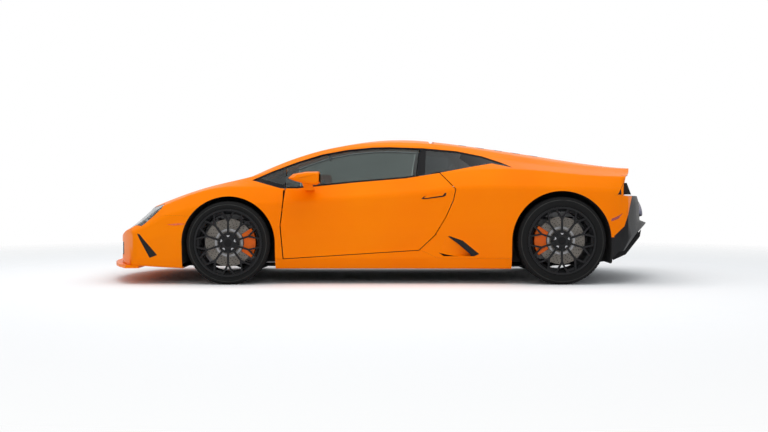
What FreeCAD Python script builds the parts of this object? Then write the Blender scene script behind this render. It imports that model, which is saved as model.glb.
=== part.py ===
import FreeCAD, Part
import Sketcher
import math
import os

# Mid-engined supercar.  Millimetres, +Z up, nose toward -X, left side toward -Y, origin on the
# ground under the middle of the car.  Body panels are cut from one lofted hull; wheels, discs and
# the steering wheel are PartDesign bodies whose sketches are bound to the sheet.

V = FreeCAD.Vector
doc = FreeCAD.newDocument("Supercar")

# ---------------------------------------------------------------- driving dimensions
SIZES = [
    # alias, millimetres or degrees, what it is
    ("wheelbase", 2620, "front axle to rear axle"),
    ("front_overhang", 1045, "splitter tip to front axle"),
    ("rear_overhang", 855, "rear axle to diffuser tip"),
    ("body_width", 1932, "widest point of the rear wings, mirrors apart"),
    ("body_height", 1165, "roof above the ground"),
    ("panel_wall", 12, "bumpers, wings and sills"),
    ("roof_wall", 28, "roof, pillars and cant rails"),
    ("door_wall", 75, "whole door, skin to trim"),
    ("door_skin", 14, "outer skin and its flange"),
    ("lid_wall", 22, "bonnet and engine cover"),
    ("glass_wall", 5, "all glass"),
    ("glass_sink", 3, "glass below the paint"),
    ("door_gap", 6.5, "shut line round a door"),
    ("lid_gap", 6, "shut line round a lid"),
    ("lid_swing_gap", 42, "gap ahead of the engine cover, which swings forward as it rises"),
    ("seam_gap", 0.8, "seam between two fixed panels"),
    ("seat_gap", 0.3, "between pieces that bear on each other"),
    ("front_tyre_radius", 327.5, "245/30 on a 20 inch rim"),
    ("front_tyre_width", 245, "245/30 on a 20 inch rim"),
    ("rear_tyre_radius", 345.5, "305/30 on a 20 inch rim"),
    ("rear_tyre_width", 305, "305/30 on a 20 inch rim"),
    ("front_wheel_inset", 9.5, "tyre side inside the widest point"),
    ("rear_wheel_inset", 3.5, "tyre side inside the widest point"),
    ("bead_radius", 258, "tyre bead"),
    ("front_arch_gap", 38.5, "tyre to wheel arch"),
    ("rear_arch_gap", 45.5, "tyre to wheel arch"),
    ("front_house_depth", 294, "tyre centre to the inner wall of its housing"),
    ("rear_house_depth", 185, "tyre centre to the inner wall of its housing"),
    ("liner_wall", 6, "wheel housing liner"),
    ("kingpin_inset", 24, "steering axis inboard of the tyre centre"),
    ("hub_face_depth", 76.5, "tyre side to wheel mounting face"),
    ("disc_radius", 188, "brake disc"),
    ("disc_thick", 36, "brake disc"),
    ("stub_radius", 30, "wheel bearing stub"),
    ("bearing_gap", 0.06, "stub in its bearing"),
    ("steering_wheel_radius", 178, "rim centre line"),
    ("door_axis_back", -845, "door hinge axis along the car"),
    ("tub_half_width", 815, "outside of the cabin tub"),
]
sheet = doc.addObject("Spreadsheet::Sheet", "Sizes")
for line, (alias, value, note) in enumerate(SIZES, start=1):
    sheet.set("A%d" % line, note)
    sheet.set("B%d" % line, str(value))
    sheet.setAlias("B%d" % line, alias)
doc.recompute()


class Size:
    """A number that remembers the sheet expression it came from."""

    def __init__(self, value, text):
        self.value = float(value)
        self.text = text

    def join(self, other, sign, result):
        text = other.text if isinstance(other, Size) else repr(float(other))
        return Size(result, "(%s %s %s)" % (self.text, sign, text))

    def __add__(self, other):
        return self.join(other, "+", self.value + float(other))

    def __sub__(self, other):
        return self.join(other, "-", self.value - float(other))

    def __mul__(self, other):
        return self.join(other, "*", self.value * float(other))

    def __truediv__(self, other):
        return self.join(other, "/", self.value / float(other))

    def __neg__(self):
        return Size(-self.value, "(-1 * %s)" % self.text)

    def __float__(self):
        return self.value


def size(alias):
    return Size(sheet.get(alias), "Sizes." + alias)


def mm(alias):
    return float(sheet.get(alias))


# ---------------------------------------------------------------- places along, across and up
# The tables below give places on the design car; these three carry them to the sheet's sizes.
DESIGN_FRONT_AXLE, DESIGN_REAR_AXLE = -1215.0, 1405.0
DESIGN_FRONT, DESIGN_REAR, DESIGN_HALF, DESIGN_HEIGHT = 1045.0, 855.0, 966.0, 1165.0

front_axle = mm("front_overhang") - (mm("front_overhang") + mm("wheelbase") + mm("rear_overhang")) / 2
rear_axle = front_axle + mm("wheelbase")
half_width = mm("body_width") / 2


def along(x):
    if x < DESIGN_FRONT_AXLE:
        return front_axle + (x - DESIGN_FRONT_AXLE) * mm("front_overhang") / DESIGN_FRONT
    if x > DESIGN_REAR_AXLE:
        return rear_axle + (x - DESIGN_REAR_AXLE) * mm("rear_overhang") / DESIGN_REAR
    share = (x - DESIGN_FRONT_AXLE) / (DESIGN_REAR_AXLE - DESIGN_FRONT_AXLE)
    return front_axle + share * mm("wheelbase")


def across(y):
    return y * half_width / DESIGN_HALF


def up(z):
    return z * mm("body_height") / DESIGN_HEIGHT


# ---------------------------------------------------------------- plane outlines and prisms
def offset_corner(a, b, c, d):
    """Corner b of the path a-b-c, moved d to the left of the path."""
    u = (b[0] - a[0], b[1] - a[1])
    w = (c[0] - b[0], c[1] - b[1])
    lu, lw = math.hypot(*u), math.hypot(*w)
    nu = (-u[1] / lu, u[0] / lu)
    nw = (-w[1] / lw, w[0] / lw)
    k = d / (1 + nu[0] * nw[0] + nu[1] * nw[1])
    return (b[0] + k * (nu[0] + nw[0]), b[1] + k * (nu[1] + nw[1]))


def grow(points, d):
    """A closed outline moved outward by d (inward when negative)."""
    n = len(points)
    area = sum(points[i][0] * points[(i + 1) % n][1] - points[(i + 1) % n][0] * points[i][1] for i in range(n))
    d = -d if area > 0 else d
    return [offset_corner(points[i - 1], points[i], points[(i + 1) % n], d) for i in range(n)]


def side_prism(points, y0=-1400.0, y1=1400.0):
    """Prism across the car from an outline given as (along, up)."""
    ring = [V(x, y0, z) for x, z in points]
    return Part.Face(Part.makePolygon(ring + ring[:1])).extrude(V(0, y1 - y0, 0))


def plan_prism(points, z0=-100.0, z1=2000.0):
    """Prism up from an outline given as (along, across)."""
    ring = [V(x, y, z0) for x, y in points]
    return Part.Face(Part.makePolygon(ring + ring[:1])).extrude(V(0, 0, z1 - z0))


def both(half_outline):
    """A plan outline mirrored about the centre line, from its right-hand half."""
    return half_outline + [(x, -y) for x, y in reversed(half_outline) if abs(y) > 1e-6]


def placed(outline, kind="side"):
    second = up if kind == "side" else across
    return [(along(a), second(b)) for a, b in outline]


def box(x0, x1, y0, y1, z0, z1):
    return Part.makeBox(x1 - x0, y1 - y0, z1 - z0, V(x0, y0, z0))


def rod(start, end, radius):
    axis = V(*end) - V(*start)
    return Part.makeCylinder(radius, axis.Length, V(*start), axis)


def cross_rod(x, z, radius, y0, y1):
    return Part.makeCylinder(radius, y1 - y0, V(x, y0, z), V(0, 1, 0))


def mirrored(shape):
    return shape.mirror(V(0, 0, 0), V(0, 1, 0))


def pair(shape):
    """The left-hand shape and its mirror image, as one compound."""
    return Part.makeCompound([shape, mirrored(shape)])


# ---------------------------------------------------------------- the hull
# One row per cross-section: along, then width and height of each corner, then the crown height.
SECTIONS = [
    # along   floor     sill      side      shoulder  belt      rail       valley     crown
    (-2330, 880, 152, 905, 215, 915, 330, 895, 400, 840, 425, 700, 430, 330, 395, 330),
    (-2000, 890, 150, 920, 215, 940, 360, 922, 470, 850, 520, 690, 540, 400, 510, 468),
    (-1640, 900, 128, 925, 210, 950, 400, 932, 560, 850, 660, 690, 690, 490, 655, 612),
    (-1215, 900, 120, 925, 210, 950, 450, 935, 640, 860, 770, 700, 815, 580, 790, 755),
    (-850, 860, 120, 905, 210, 930, 430, 915, 640, 850, 765, 695, 913, 612, 946, 935),
    (-450, 840, 120, 900, 205, 915, 430, 900, 670, 815, 785, 590, 1045, 520, 1078, 1085),
    (0, 840, 120, 900, 205, 912, 430, 900, 700, 800, 820, 550, 1105, 480, 1135, 1165),
    (450, 850, 120, 905, 210, 925, 450, 915, 745, 810, 872, 545, 1085, 475, 1118, 1152),
    (900, 880, 120, 925, 215, 950, 480, 940, 770, 830, 910, 590, 1010, 500, 1055, 1092),
    (1405, 900, 130, 940, 225, 966, 500, 950, 760, 850, 880, 660, 930, 540, 975, 1015),
    (1850, 900, 170, 920, 260, 940, 500, 930, 740, 850, 850, 680, 890, 560, 925, 948),
    (2330, 860, 220, 880, 300, 890, 500, 880, 740, 830, 850, 680, 900, 560, 935, 945),
]
CORNER_RADII = [30, 25, 200, 90, 40, 70, 60]


def rounded_corner(a, b, c, radius):
    """Start, middle and end of the arc that rounds corner b."""
    u, w = a - b, c - b
    lu, lw = u.Length, w.Length
    u.normalize()
    w.normalize()
    angle = min(u.getAngle(w), math.pi - 1e-3)
    run = min(max(radius / math.tan(angle / 2), 12), 0.45 * lu, 0.45 * lw)
    radius = run * math.tan(angle / 2)
    bisector = u + w
    bisector.normalize()
    return b + u * run, b + bisector * (radius / math.sin(angle / 2) - radius), b + w * run


def section_wire(row, inset):
    x = along(row[0])
    corners = [(across(row[i]), up(row[i + 1])) for i in range(1, 15, 2)]
    floor, crown = (0.0, corners[0][1]), (0.0, up(row[15]))
    chain = [floor] + corners + [crown]
    moved = [offset_corner(chain[i - 1], chain[i], chain[i + 1], inset) for i in range(1, 8)]
    slope = math.atan2(crown[1] - corners[-1][1], corners[-1][0])
    path = [V(x, 0, floor[1] + inset)] + [V(x, -y, z) for y, z in moved]
    path.append(V(x, 0, crown[1] - inset / math.cos(slope)))
    arcs = [rounded_corner(path[i - 1], path[i], path[i + 1], CORNER_RADII[i - 1]) for i in range(1, 8)]

    def flip(p):
        return V(p.x, -p.y, p.z)

    edges = [Part.LineSegment(flip(arcs[0][0]), arcs[0][0]).toShape()]
    for i, (start, middle, end) in enumerate(arcs):
        if i:
            edges.append(Part.LineSegment(arcs[i - 1][2], start).toShape())
        edges.append(Part.Arc(start, middle, end).toShape())
    edges.append(Part.Arc(arcs[-1][2], path[-1], flip(arcs[-1][2])).toShape())
    for i in range(6, -1, -1):
        start, middle, end = arcs[i]
        edges.append(Part.Arc(flip(end), flip(middle), flip(start)).toShape())
        if i:
            edges.append(Part.LineSegment(flip(start), flip(arcs[i - 1][2])).toShape())
    return Part.Wire(edges)


# Side outline of the car's two ends; the loft gives everything between.
END_OUTLINE = [
    (-2206, 1400), (-2206, 383), (-2164, 207), (-2150, 0), (1790, 0), (1822, 206), (1955, 258),
    (2050, 262), (2150, 360), (2260, 466), (2200, 490), (2190, 640), (2172, 692), (2040, 700),
    (2046, 799), (2085, 887), (2085, 1400),
]
NOSE_TIP, NOSE_CORNER, TAIL_TIP, TAIL_CORNER, CORNER_HALF = -2206, -1975, 2262, 2150, 905


def plan_outline(inset):
    """Plan shape of the ends: a bowed nose and tail between straight sides."""
    nose, nose_corner = along(NOSE_TIP) + inset, along(NOSE_CORNER) + inset
    tail, tail_corner = along(TAIL_TIP) - inset, along(TAIL_CORNER) - inset
    reach, wide = across(CORNER_HALF), across(CORNER_HALF) + 400
    slope_nose = 2 * (nose_corner - nose) / reach
    slope_tail = 2 * (tail - tail_corner) / reach
    left_nose = V(nose_corner + 400 * slope_nose, -wide, -100)
    left_tail = V(tail_corner - 400 * slope_tail, -wide, -100)
    edges = [
        Part.Arc(V(nose_corner, reach, -100), V(nose, 0, -100), V(nose_corner, -reach, -100)).toShape(),
        Part.LineSegment(V(nose_corner, -reach, -100), left_nose).toShape(),
        Part.LineSegment(left_nose, left_tail).toShape(),
        Part.LineSegment(left_tail, V(tail_corner, -reach, -100)).toShape(),
        Part.Arc(V(tail_corner, -reach, -100), V(tail, 0, -100), V(tail_corner, reach, -100)).toShape(),
        Part.LineSegment(V(tail_corner, reach, -100), V(left_tail.x, wide, -100)).toShape(),
        Part.LineSegment(V(left_tail.x, wide, -100), V(left_nose.x, wide, -100)).toShape(),
        Part.LineSegment(V(left_nose.x, wide, -100), V(nose_corner, reach, -100)).toShape(),
    ]
    return Part.Face(Part.Wire(edges)).extrude(V(0, 0, 2100))


lofts = {}


def loft(inset):
    """The body's solid, nose to tail, with its sides, top and floor moved inward by inset."""
    if inset not in lofts:
        wires = [section_wire(row, inset) for row in SECTIONS]
        wires[0].translate(V(inset, 0, 0))
        wires[-1].translate(V(-inset, 0, 0))
        lofts[inset] = Part.makeLoft(wires, True, False)
    return lofts[inset]


def trimmed(inset):
    """The loft cut to the nose and tail outlines, which move inward with it."""
    ends = side_prism(grow(placed(END_OUTLINE), -inset))
    return loft(inset).common(ends.common(plan_outline(inset)))


def hollow(outer, inner):
    """A solid with another one as its void."""
    return Part.makeSolid(Part.makeCompound([outer.Shells[0], inner.Shells[0].reversed()]))


def band(outer, inner):
    """The layer of the body between two depths below the paint, for pieces away from the ends."""
    return hollow(loft(outer), loft(inner))


wall = mm("panel_wall")
seat = mm("seat_gap")
seam = mm("seam_gap")
skin = hollow(trimmed(0), trimmed(wall))
core = trimmed(wall + seat)

# ---------------------------------------------------------------- wheel places and housings
front_z, rear_z = mm("front_tyre_radius"), mm("rear_tyre_radius")
front_y = half_width - mm("front_wheel_inset") - mm("front_tyre_width") / 2
rear_y = half_width - mm("rear_wheel_inset") - mm("rear_tyre_width") / 2
front_arch = front_z + mm("front_arch_gap")
rear_arch = rear_z + mm("rear_arch_gap")
front_wall_y = front_y - mm("front_house_depth")
rear_wall_y = rear_y - mm("rear_house_depth")
AXLES = {
    "front": (front_axle, front_z, front_y, front_arch, front_wall_y),
    "rear": (rear_axle, rear_z, rear_y, rear_arch, rear_wall_y),
}


def housing(end, extra=0.0):
    """Space of both wheel housings of one axle, open downward."""
    x, z, y, arch, wall_y = AXLES[end]
    radius = arch + extra
    left = cross_rod(x, z, radius, -1400, -(wall_y - extra))
    left = left.fuse(box(x - radius, x + radius, -1400, -(wall_y - extra), -50, z))
    return pair(left)


arches = housing("front").Solids + housing("rear").Solids
skin = skin.cut(Part.makeCompound(arches))
liner_space = housing("front", mm("liner_wall") + seat).Solids + housing("rear", mm("liner_wall") + seat).Solids
liner_space = Part.makeCompound(liner_space)

# ---------------------------------------------------------------- shut lines and openings
# Outlines seen from the side (along, up) and from above (along, across).
WINDOW = [
    (-1044, 821), (-811, 757), (-679, 757), (-215, 804), (183, 837), (449, 880), (715, 930), (873, 956),
    (1034, 922), (955, 962), (804, 1017), (600, 1060), (326, 1084), (52, 1093), (-84, 1090), (-290, 1070),
    (-492, 1032), (-687, 970), (-888, 892),
]
DOOR = [
    (-773, 731), (-803, 459), (-782, 204), (283, 272), (406, 388), (493, 533), (551, 663), (570, 750),
    (449, 879), (183, 836), (-215, 803), (-679, 756), (-768, 756),
]
DOOR_GLASS = [
    (-768, 756), (-679, 756), (-215, 803), (183, 836), (262, 849), (300, 1120), (-300, 1150), (-768, 960),
]
BONNET = [
    (-1992, 0), (-1985, 300), (-1960, 560), (-1800, 640), (-1500, 655), (-1215, 640), (-1050, 598),
    (-1120, 330), (-1180, 0),
]
WINDSCREEN = [(-1170, 0), (-1108, 330), (-1012, 590), (-640, 545), (-300, 462), (-330, 240), (-345, 0)]
LID = [(425, 0), (425, 438), (900, 462), (1405, 498), (1790, 515), (1830, 290), (1840, 0)]
BUMPER_SEAM = [(-2500, -50), (-2500, 900), (-1996, 900), (-1996, 575), (-1850, 548), (-1215, 530), (-1215, -50)]
HEADLAMP = [(-2085, 560), (-1990, 565), (-1730, 790), (-1745, 862), (-1900, 905), (-2010, 800)]
TAIL_SEAM = [(1450, 372), (1853, 372), (1917, 418), (2200, 642), (2500, 642), (2500, -50), (1450, -50)]
INTAKE = [(510, 387), (628, 346), (758, 240), (717, 222), (480, 222), (440, 250)]
SILL = [(-849, -50), (-849, 198), (-782, 198), (283, 266), (296, 272), (432, 206), (1100, 206), (1100, -50)]
QUARTER = [(292, 390), (292, 275), (432, 207), (2500, 207), (2500, 1400), (421, 1400), (421, 390)]

door_gap, lid_gap = mm("door_gap"), mm("lid_gap")
half_seam = seam / 2
window_prism = side_prism(placed(WINDOW))
door_hole = side_prism(grow(placed([(x - 2 if x < -700 else x, z) for x, z in DOOR]), door_gap))
bonnet_hole = plan_prism(grow(both(placed(BONNET, "plan")), lid_gap), up(380))
bonnet_panel = [(x + 7 if x < -1900 else x, y) for x, y in BONNET[:6]] + [(-1072, 592), (-1130, 330), (-1190, 0)]
bonnet_plan = both(placed(bonnet_panel, "plan"))
screen_plan = both(placed(WINDSCREEN, "plan"))
screen_hole = plan_prism(screen_plan, up(700))
lid_hole = plan_prism(grow(both(placed(LID, "plan")), lid_gap), up(800))
lid_plan = both(placed([(x - 5 if x > 1500 else x, y) for x, y in LID], "plan"))
lamp_plan = [(x, -y) for x, y in placed(HEADLAMP, "plan")]
lamp_hole = pair(plan_prism(lamp_plan, up(380), up(640)))
floor_y = across(822)

parts = []


def add_shape(label, shape, place=FreeCAD.Placement()):
    """A sub-part whose shape is worked out here from the sheet's sizes."""
    part = doc.addObject("Part::Feature", label)
    part.Label = label
    solids = shape.Solids
    part.Shape = solids[0] if len(solids) == 1 else Part.makeCompound(solids)
    part.Placement = place
    parts.append(part)
    return part


def biggest(shape, count=1):
    """The largest solids of a cut, without its crumbs."""
    solids = sorted(shape.Solids, key=lambda s: -s.Volume)
    return Part.makeCompound(solids[:count]) if count > 1 else solids[0]


# ---------------------------------------------------------------- outer panels
# front bumper: everything ahead of the wings, with its grille openings
GRILLES = [(-620, -250, 215, 345), (250, 620, 215, 345)]
front_skin = skin.common(box(along(-2600), along(-700), -1400, 1400, -50, 1400))
bumper = front_skin.common(side_prism(placed(BUMPER_SEAM))).cut(bonnet_hole).cut(lamp_hole)
bumper = bumper.cut(box(along(-1900) - half_seam, 0, -floor_y - half_seam, floor_y + half_seam, -50, up(200)))
for y0, y1, z0, z1 in GRILLES:
    bumper = bumper.cut(box(along(-2400), along(-1990), across(y0), across(y1), up(z0), up(z1)))
add_shape("front_bumper", biggest(bumper))

# splitter: a flat bowed plate under the bumper
SPLITTER = [(-2260, 0), (-2030, 895), (-1930, 880)]
tip, corner, heel = [V(along(x), across(y), up(126)) for x, y in SPLITTER]
left_corner, left_heel = V(corner.x, -corner.y, corner.z), V(heel.x, -heel.y, heel.z)
splitter_edges = [
    Part.Arc(corner, tip, left_corner).toShape(),
    Part.LineSegment(left_corner, left_heel).toShape(),
    Part.LineSegment(left_heel, heel).toShape(),
    Part.LineSegment(heel, corner).toShape(),
]
splitter = Part.Face(Part.Wire(splitter_edges)).extrude(V(0, 0, up(23.7)))
add_shape("front_splitter", splitter.cut(loft(-seat)))

# front wings, the left one made and mirrored
left_half = box(-3000, 3000, -1400, 0, -100, 2000)
wings = front_skin.common(left_half).cut(side_prism(grow(placed(BUMPER_SEAM), seam))).cut(bonnet_hole).cut(lamp_hole)
pillar_foot = placed([(-1044, 821), (-1044, 1300), (0, 1300), (0, 700), (-768, 750)])
wings = wings.cut(side_prism(grow(pillar_foot, half_seam))).cut(door_hole).cut(screen_hole)
wings = wings.cut(window_prism)
wings = wings.cut(side_prism(placed([(-1500, -50), (-1500, 120), (-860, 199), (0, 199), (0, -50)])))
wings = wings.cut(side_prism(placed([(-790, -50), (-790, 740), (0, 740), (0, -50)])))
add_shape("front_wings", pair(biggest(wings)))

# bonnet
bonnet = band(0, mm("lid_wall")).common(plan_prism(bonnet_plan, up(380)))

# roof with its pillars and cant rails
roof_zone = placed([(-1044, 821 + seam), (-768, 751), (0, 700), (420, 800), (420, 1300), (-1044, 1300)])
roof = band(0, mm("roof_wall")).common(side_prism(roof_zone))
roof = roof.cut(bonnet_hole).cut(screen_hole).cut(window_prism).cut(lid_hole).cut(door_hole)
swing_half = across(438) + lid_gap
roof = roof.cut(box(along(425) - mm("lid_swing_gap"), along(430), -swing_half, swing_half, up(800), 1400))
add_shape("roof_panel", biggest(roof))

# windscreen and fixed side glass
sink, glass = mm("glass_sink"), mm("glass_wall")
upper_box = box(along(-1300), along(1200), -1400, 1400, up(700), 1400)
pane = band(sink, sink + glass).common(upper_box)
screen = pane.common(plan_prism(grow(screen_plan, -half_seam), up(700))).cut(side_prism(grow(pillar_foot, -9)).cut(screen_hole))
screen = screen.cut(bonnet_hole)
add_shape("windscreen", biggest(screen))
side_pane = pane.common(side_prism(grow(placed(WINDOW), -half_seam), -1400, 0)).cut(door_hole).cut(screen_hole)
quarter_panes = side_pane.cut(side_prism(grow(placed(DOOR_GLASS), door_gap)))
add_shape("quarter_windows", pair(biggest(quarter_panes, 2)))

# quarter panels: from the door to the tail, over the rear wheels and up to the lid
rear_skin = skin.common(box(along(250), along(2600), -1400, 1400, -50, 1400))
TAIL_SPLIT = [(1845, 705), (1845, 200), (2500, 200), (2500, 705)]
quarters = rear_skin.common(side_prism(placed(QUARTER))).cut(door_hole).cut(lid_hole).cut(window_prism)
quarters = quarters.cut(side_prism(placed(INTAKE))).cut(side_prism(placed(TAIL_SPLIT)))
quarters = quarters.cut(side_prism(grow(placed(TAIL_SEAM), half_seam)))
quarters = quarters.cut(box(along(1980), along(2200), -across(812), across(812), up(706), up(858)))
add_shape("quarter_panels", biggest(quarters))

# sills below the doors
floor_slot = box(-3000, 3000, -floor_y - half_seam, floor_y + half_seam, -50, up(200))
sills = skin.common(box(along(-849), along(1100), -1400, 0, -50, up(300))).common(side_prism(placed(SILL)))
add_shape("side_sills", pair(biggest(sills.cut(floor_slot))))

# floor, with holes for the tub's jacking pads
JACK_X, JACK_Y, JACK_R, JACK_DROP = (-700, 450), 700, 30, 3
jack_spots = [(along(x), side * across(JACK_Y)) for x in JACK_X for side in (-1, 1)]
floor = skin.common(box(along(-1900), along(1835), -floor_y, floor_y, -50, up(200)))
for x, y in jack_spots:
    floor = floor.cut(Part.makeCylinder(JACK_R + 2, 200, V(x, y, 0)))
add_shape("floor_pan", biggest(floor))

# rear bumper and diffuser
TAIL = [(1845 + seam, 372), (1845 + seam, 705 - seam), (2500, 705 - seam), (2500, -50), (1400, -50), (1400, 204)]
rear_body = rear_skin.common(side_prism(placed(TAIL + [(1500, 372)])))
add_shape("rear_bumper", biggest(rear_body.cut(side_prism(grow(placed(TAIL_SEAM), half_seam)))))
diffuser = rear_body.common(side_prism(grow(placed(TAIL_SEAM), -half_seam)))
diffuser = diffuser.cut(box(-3000, along(1835) + half_seam, -floor_y - half_seam, floor_y + half_seam, -50, up(250)))
add_shape("rear_diffuser", biggest(diffuser))

# engine cover
lid = band(0, mm("lid_wall")).common(plan_prism(lid_plan, up(800)))

# headlamps
lamp_prism = plan_prism(grow(lamp_plan, -half_seam), up(400), up(640))
lamp_prism = lamp_prism.cut(side_prism(placed([(-2600, 380), (-2600, 430), (-1500, 520), (-1500, 380)])))
lamp = lamp_prism.common(trimmed(1.5)).cut(loft(60))
add_shape("headlamps", pair(biggest(lamp)))

# wheel housing liners
liners = []
for end in ("front", "rear"):
    x, z, y, arch, wall_y = AXLES[end]
    opening = cross_rod(x, z, 0.68 * arch, -2000, 2000)
    sump = box(x - 0.68 * arch, x + 0.68 * arch, -2000, 2000, -50, z)
    liner = housing(end, mm("liner_wall")).Solids[0].common(box(-3000, 3000, -2000, 0, up(160), 2000))
    liner = liner.cut(housing(end).Solids[0]).cut(opening).cut(sump).common(core)
    liners += pair(biggest(liner)).Solids
add_shape("wheel_liners", Part.makeCompound(liners))

# doors: an outer skin with a flange, and a thicker body set in from the shut line
DOOR_SET_IN = 24
door_skin = biggest(band(0, mm("door_skin")).common(side_prism(placed(DOOR), -1400, 0)))
# the leading edge is a thin lip, so that it swings past the wing
LIP = [(-780, 756), (-785, 731), (-815, 459), (-794, 200), (-770, 200), (-791, 459), (-761, 731), (-756, 756)]
door_skin = biggest(door_skin.cut(loft(3).common(side_prism(placed(LIP), -1400, 0))))
door_inner = side_prism(grow(placed(DOOR), -DOOR_SET_IN), -1400, 0)
door_core = biggest(band(mm("door_skin") - 1, mm("door_wall")).common(door_inner))
door = door_skin.fuse(door_core)
glass_drop = window_prism.copy()
glass_drop.translate(V(0, 0, -6))
window = pane.common(glass_drop).common(side_prism(placed(DOOR_GLASS), -1400, 0))
window = biggest(window.cut(screen_hole).cut(side_prism(grow(placed(DOOR), seat))))


# ---------------------------------------------------------------- cabin tub and chassis
door_x, door_y = along(mm("door_axis_back")), across(892)
PIN_R, BARREL_R = 4, 8
hinge_heights = [up(455), up(570)]
hinge_pocket = pair(box(door_x - 40, door_x + 20, -1400, -door_y + 18, hinge_heights[0] - 20, hinge_heights[1] + 50))
tub_half = across(mm("tub_half_width"))
TUB_FRONT, TUB_BACK, BULKHEAD, SILL_TOP, TUB_FLOOR = -850, 600, 22, 330, 150
SILL_BOX = 165
floor_top = up(120) + wall + seat
tub_front, tub_back = along(TUB_FRONT), along(TUB_BACK)
tub = box(tub_front - BULKHEAD, tub_back + BULKHEAD, -tub_half, tub_half, floor_top, up(SILL_TOP))
inside = tub_half - SILL_BOX
tub = tub.cut(box(tub_front, tub_back, -inside, inside, up(TUB_FLOOR), 2000))
under_lid = loft(mm("lid_wall") + 10)
front_wall = box(tub_front - BULKHEAD, tub_front, -1400, 1400, up(TUB_FLOOR), up(760)).common(core)
front_wall = front_wall.cut(door_hole).cut(hinge_pocket)
rear_wall = box(tub_back, tub_back + BULKHEAD, -1400, 1400, up(TUB_FLOOR), 1400).common(under_lid)
rear_wall = rear_wall.cut(box(tub_back - 1, tub_back + BULKHEAD + 1, -across(380), across(380), up(760), up(960)))
outer_ribs = box(tub_back, tub_back + BULKHEAD, -1400, -tub_half + 20, up(TUB_FLOOR), up(840)).common(core)
outer_ribs = pair(outer_ribs)
for piece in (front_wall, rear_wall, outer_ribs):
    tub = tub.fuse(piece)
DUCT_GAP = [(590, 200), (680, 200), (680, 420), (590, 420)]
tub = tub.cut(liner_space)
for outline in (grow(placed(DOOR), door_gap), placed(INTAKE), placed(DUCT_GAP)):
    tub = tub.cut(pair(side_prism(outline, -1400, -tub_half)))
pad_base = up(120) - JACK_DROP
tub = biggest(tub).fuse([Part.makeCylinder(JACK_R, up(140) - pad_base, V(x, y, pad_base)) for x, y in jack_spots])
add_shape("cabin_tub", biggest(tub))

# dashboard and centre console
DASH = [(-849.7, 560), (-640, 560), (-590, 640), (-600, 700), (-700, 745), (-849.7, 748)]
dash = side_prism(placed(DASH), -across(700), across(700)).common(loft(mm("door_wall") + 20))
add_shape("dashboard", dash)
CONSOLE = [(-700, 150.3), (560, 150.3), (560, 420), (300, 440), (-100, 400), (-420, 440), (-640, 559), (-700, 559)]
console = side_prism(placed(CONSOLE), -across(115), across(115))
add_shape("centre_console", console)

# seats: a cushion and a leaning back on each side
SEAT = [
    (-330, 195), (170, 160), (235, 150.3), (330, 200), (575, 860), (545, 930), (470, 925), (215, 400),
    (150, 330), (-80, 315), (-330, 345),
]
seat_y, seat_half = across(370), across(240)
seat_shape = side_prism(placed(SEAT), -seat_y - seat_half, -seat_y + seat_half)
plinth = box(along(-250), along(150), -seat_y - seat_half + 30, -seat_y + seat_half - 30, up(TUB_FLOOR) + seat, up(250))
add_shape("seats", pair(seat_shape.fuse(plinth)))

# luggage tub between the front wheels, with its frame
FRAME_Y, FRAME_WALL = 62, 15
frame_y = front_wall_y - FRAME_Y
well_x0, well_x1 = along(-1830), along(-990)
plate = box(along(-1560), tub_front - BULKHEAD - seat, -frame_y - FRAME_WALL, -frame_y, floor_top, front_z + 215)
nose_rail = box(along(-2090), along(-1560), -frame_y - FRAME_WALL, -frame_y, up(190), up(290))
beam = box(along(-2090), along(-2060), -across(640), across(640), up(190), up(290)).common(core)
frame = beam.fuse([plate, mirrored(plate), nose_rail, mirrored(nose_rail)])
for x in (-1540, -950):
    frame = frame.fuse(box(along(x) - 30, along(x) + 30, -frame_y, frame_y, floor_top, up(230)))
TOW_Y, TOW_Z, TOW_R = 430, 240, 9
tow_hole = rod((along(-2200), across(TOW_Y), up(TOW_Z)), (along(-2000), across(TOW_Y), up(TOW_Z)), TOW_R)
frame = frame.common(loft(wall + 12)).common(core).cut(tow_hole)
add_shape("front_frame", biggest(frame))
well = box(well_x0, well_x1, -frame_y + seat, frame_y - seat, up(230) + seat, up(560))
well = well.cut(box(well_x0 + 5, well_x1 - 5, -frame_y + 5, frame_y - 5, up(230) + 6, up(600)))
add_shape("luggage_tub", biggest(well.common(loft(mm("lid_wall") + 12))))

# engine and gearbox as one block, on the rear frame
engine_half = across(300)
block = box(along(660), along(1280), -engine_half, engine_half, up(185), up(700))
gearbox = box(along(1280), along(1790), -across(220), across(220), up(215), up(560))
block = block.fuse(gearbox)
add_shape("engine", block)
RAIL_Y = 45
rail_y = rear_wall_y - RAIL_Y - FRAME_WALL
side_plate = box(tub_back + BULKHEAD + seat, along(1830), -rail_y - FRAME_WALL, -rail_y, up(172), rear_z + 230)
shaft_hole = cross_rod(rear_axle, rear_z, 60, -2000, 2000)
tail_rail = box(along(1830), along(2060), -rail_y - FRAME_WALL, -rail_y, up(400), up(490))
rear_frame = pair(side_plate.cut(shaft_hole).fuse(tail_rail)).Solids
cross = [box(along(x) - 30, along(x) + 30, -rail_y, rail_y, up(172), up(185) - seat) for x in (760, 1220)]
cross.append(box(along(1740), along(1790), -rail_y, rail_y, up(195), up(215) - seat))
cross.append(box(along(2030), along(2060), -across(700), across(700), up(400), up(490)))
rear_frame = rear_frame[0].fuse([rear_frame[1]] + cross)
add_shape("rear_frame", rear_frame.common(core))

# rear window between cabin and engine
pane_box = box(tub_back + 6, tub_back + 11, -across(380) + seat, across(380) - seat, up(760) + seat, up(960) - seat)
add_shape("rear_window", pane_box)

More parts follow.
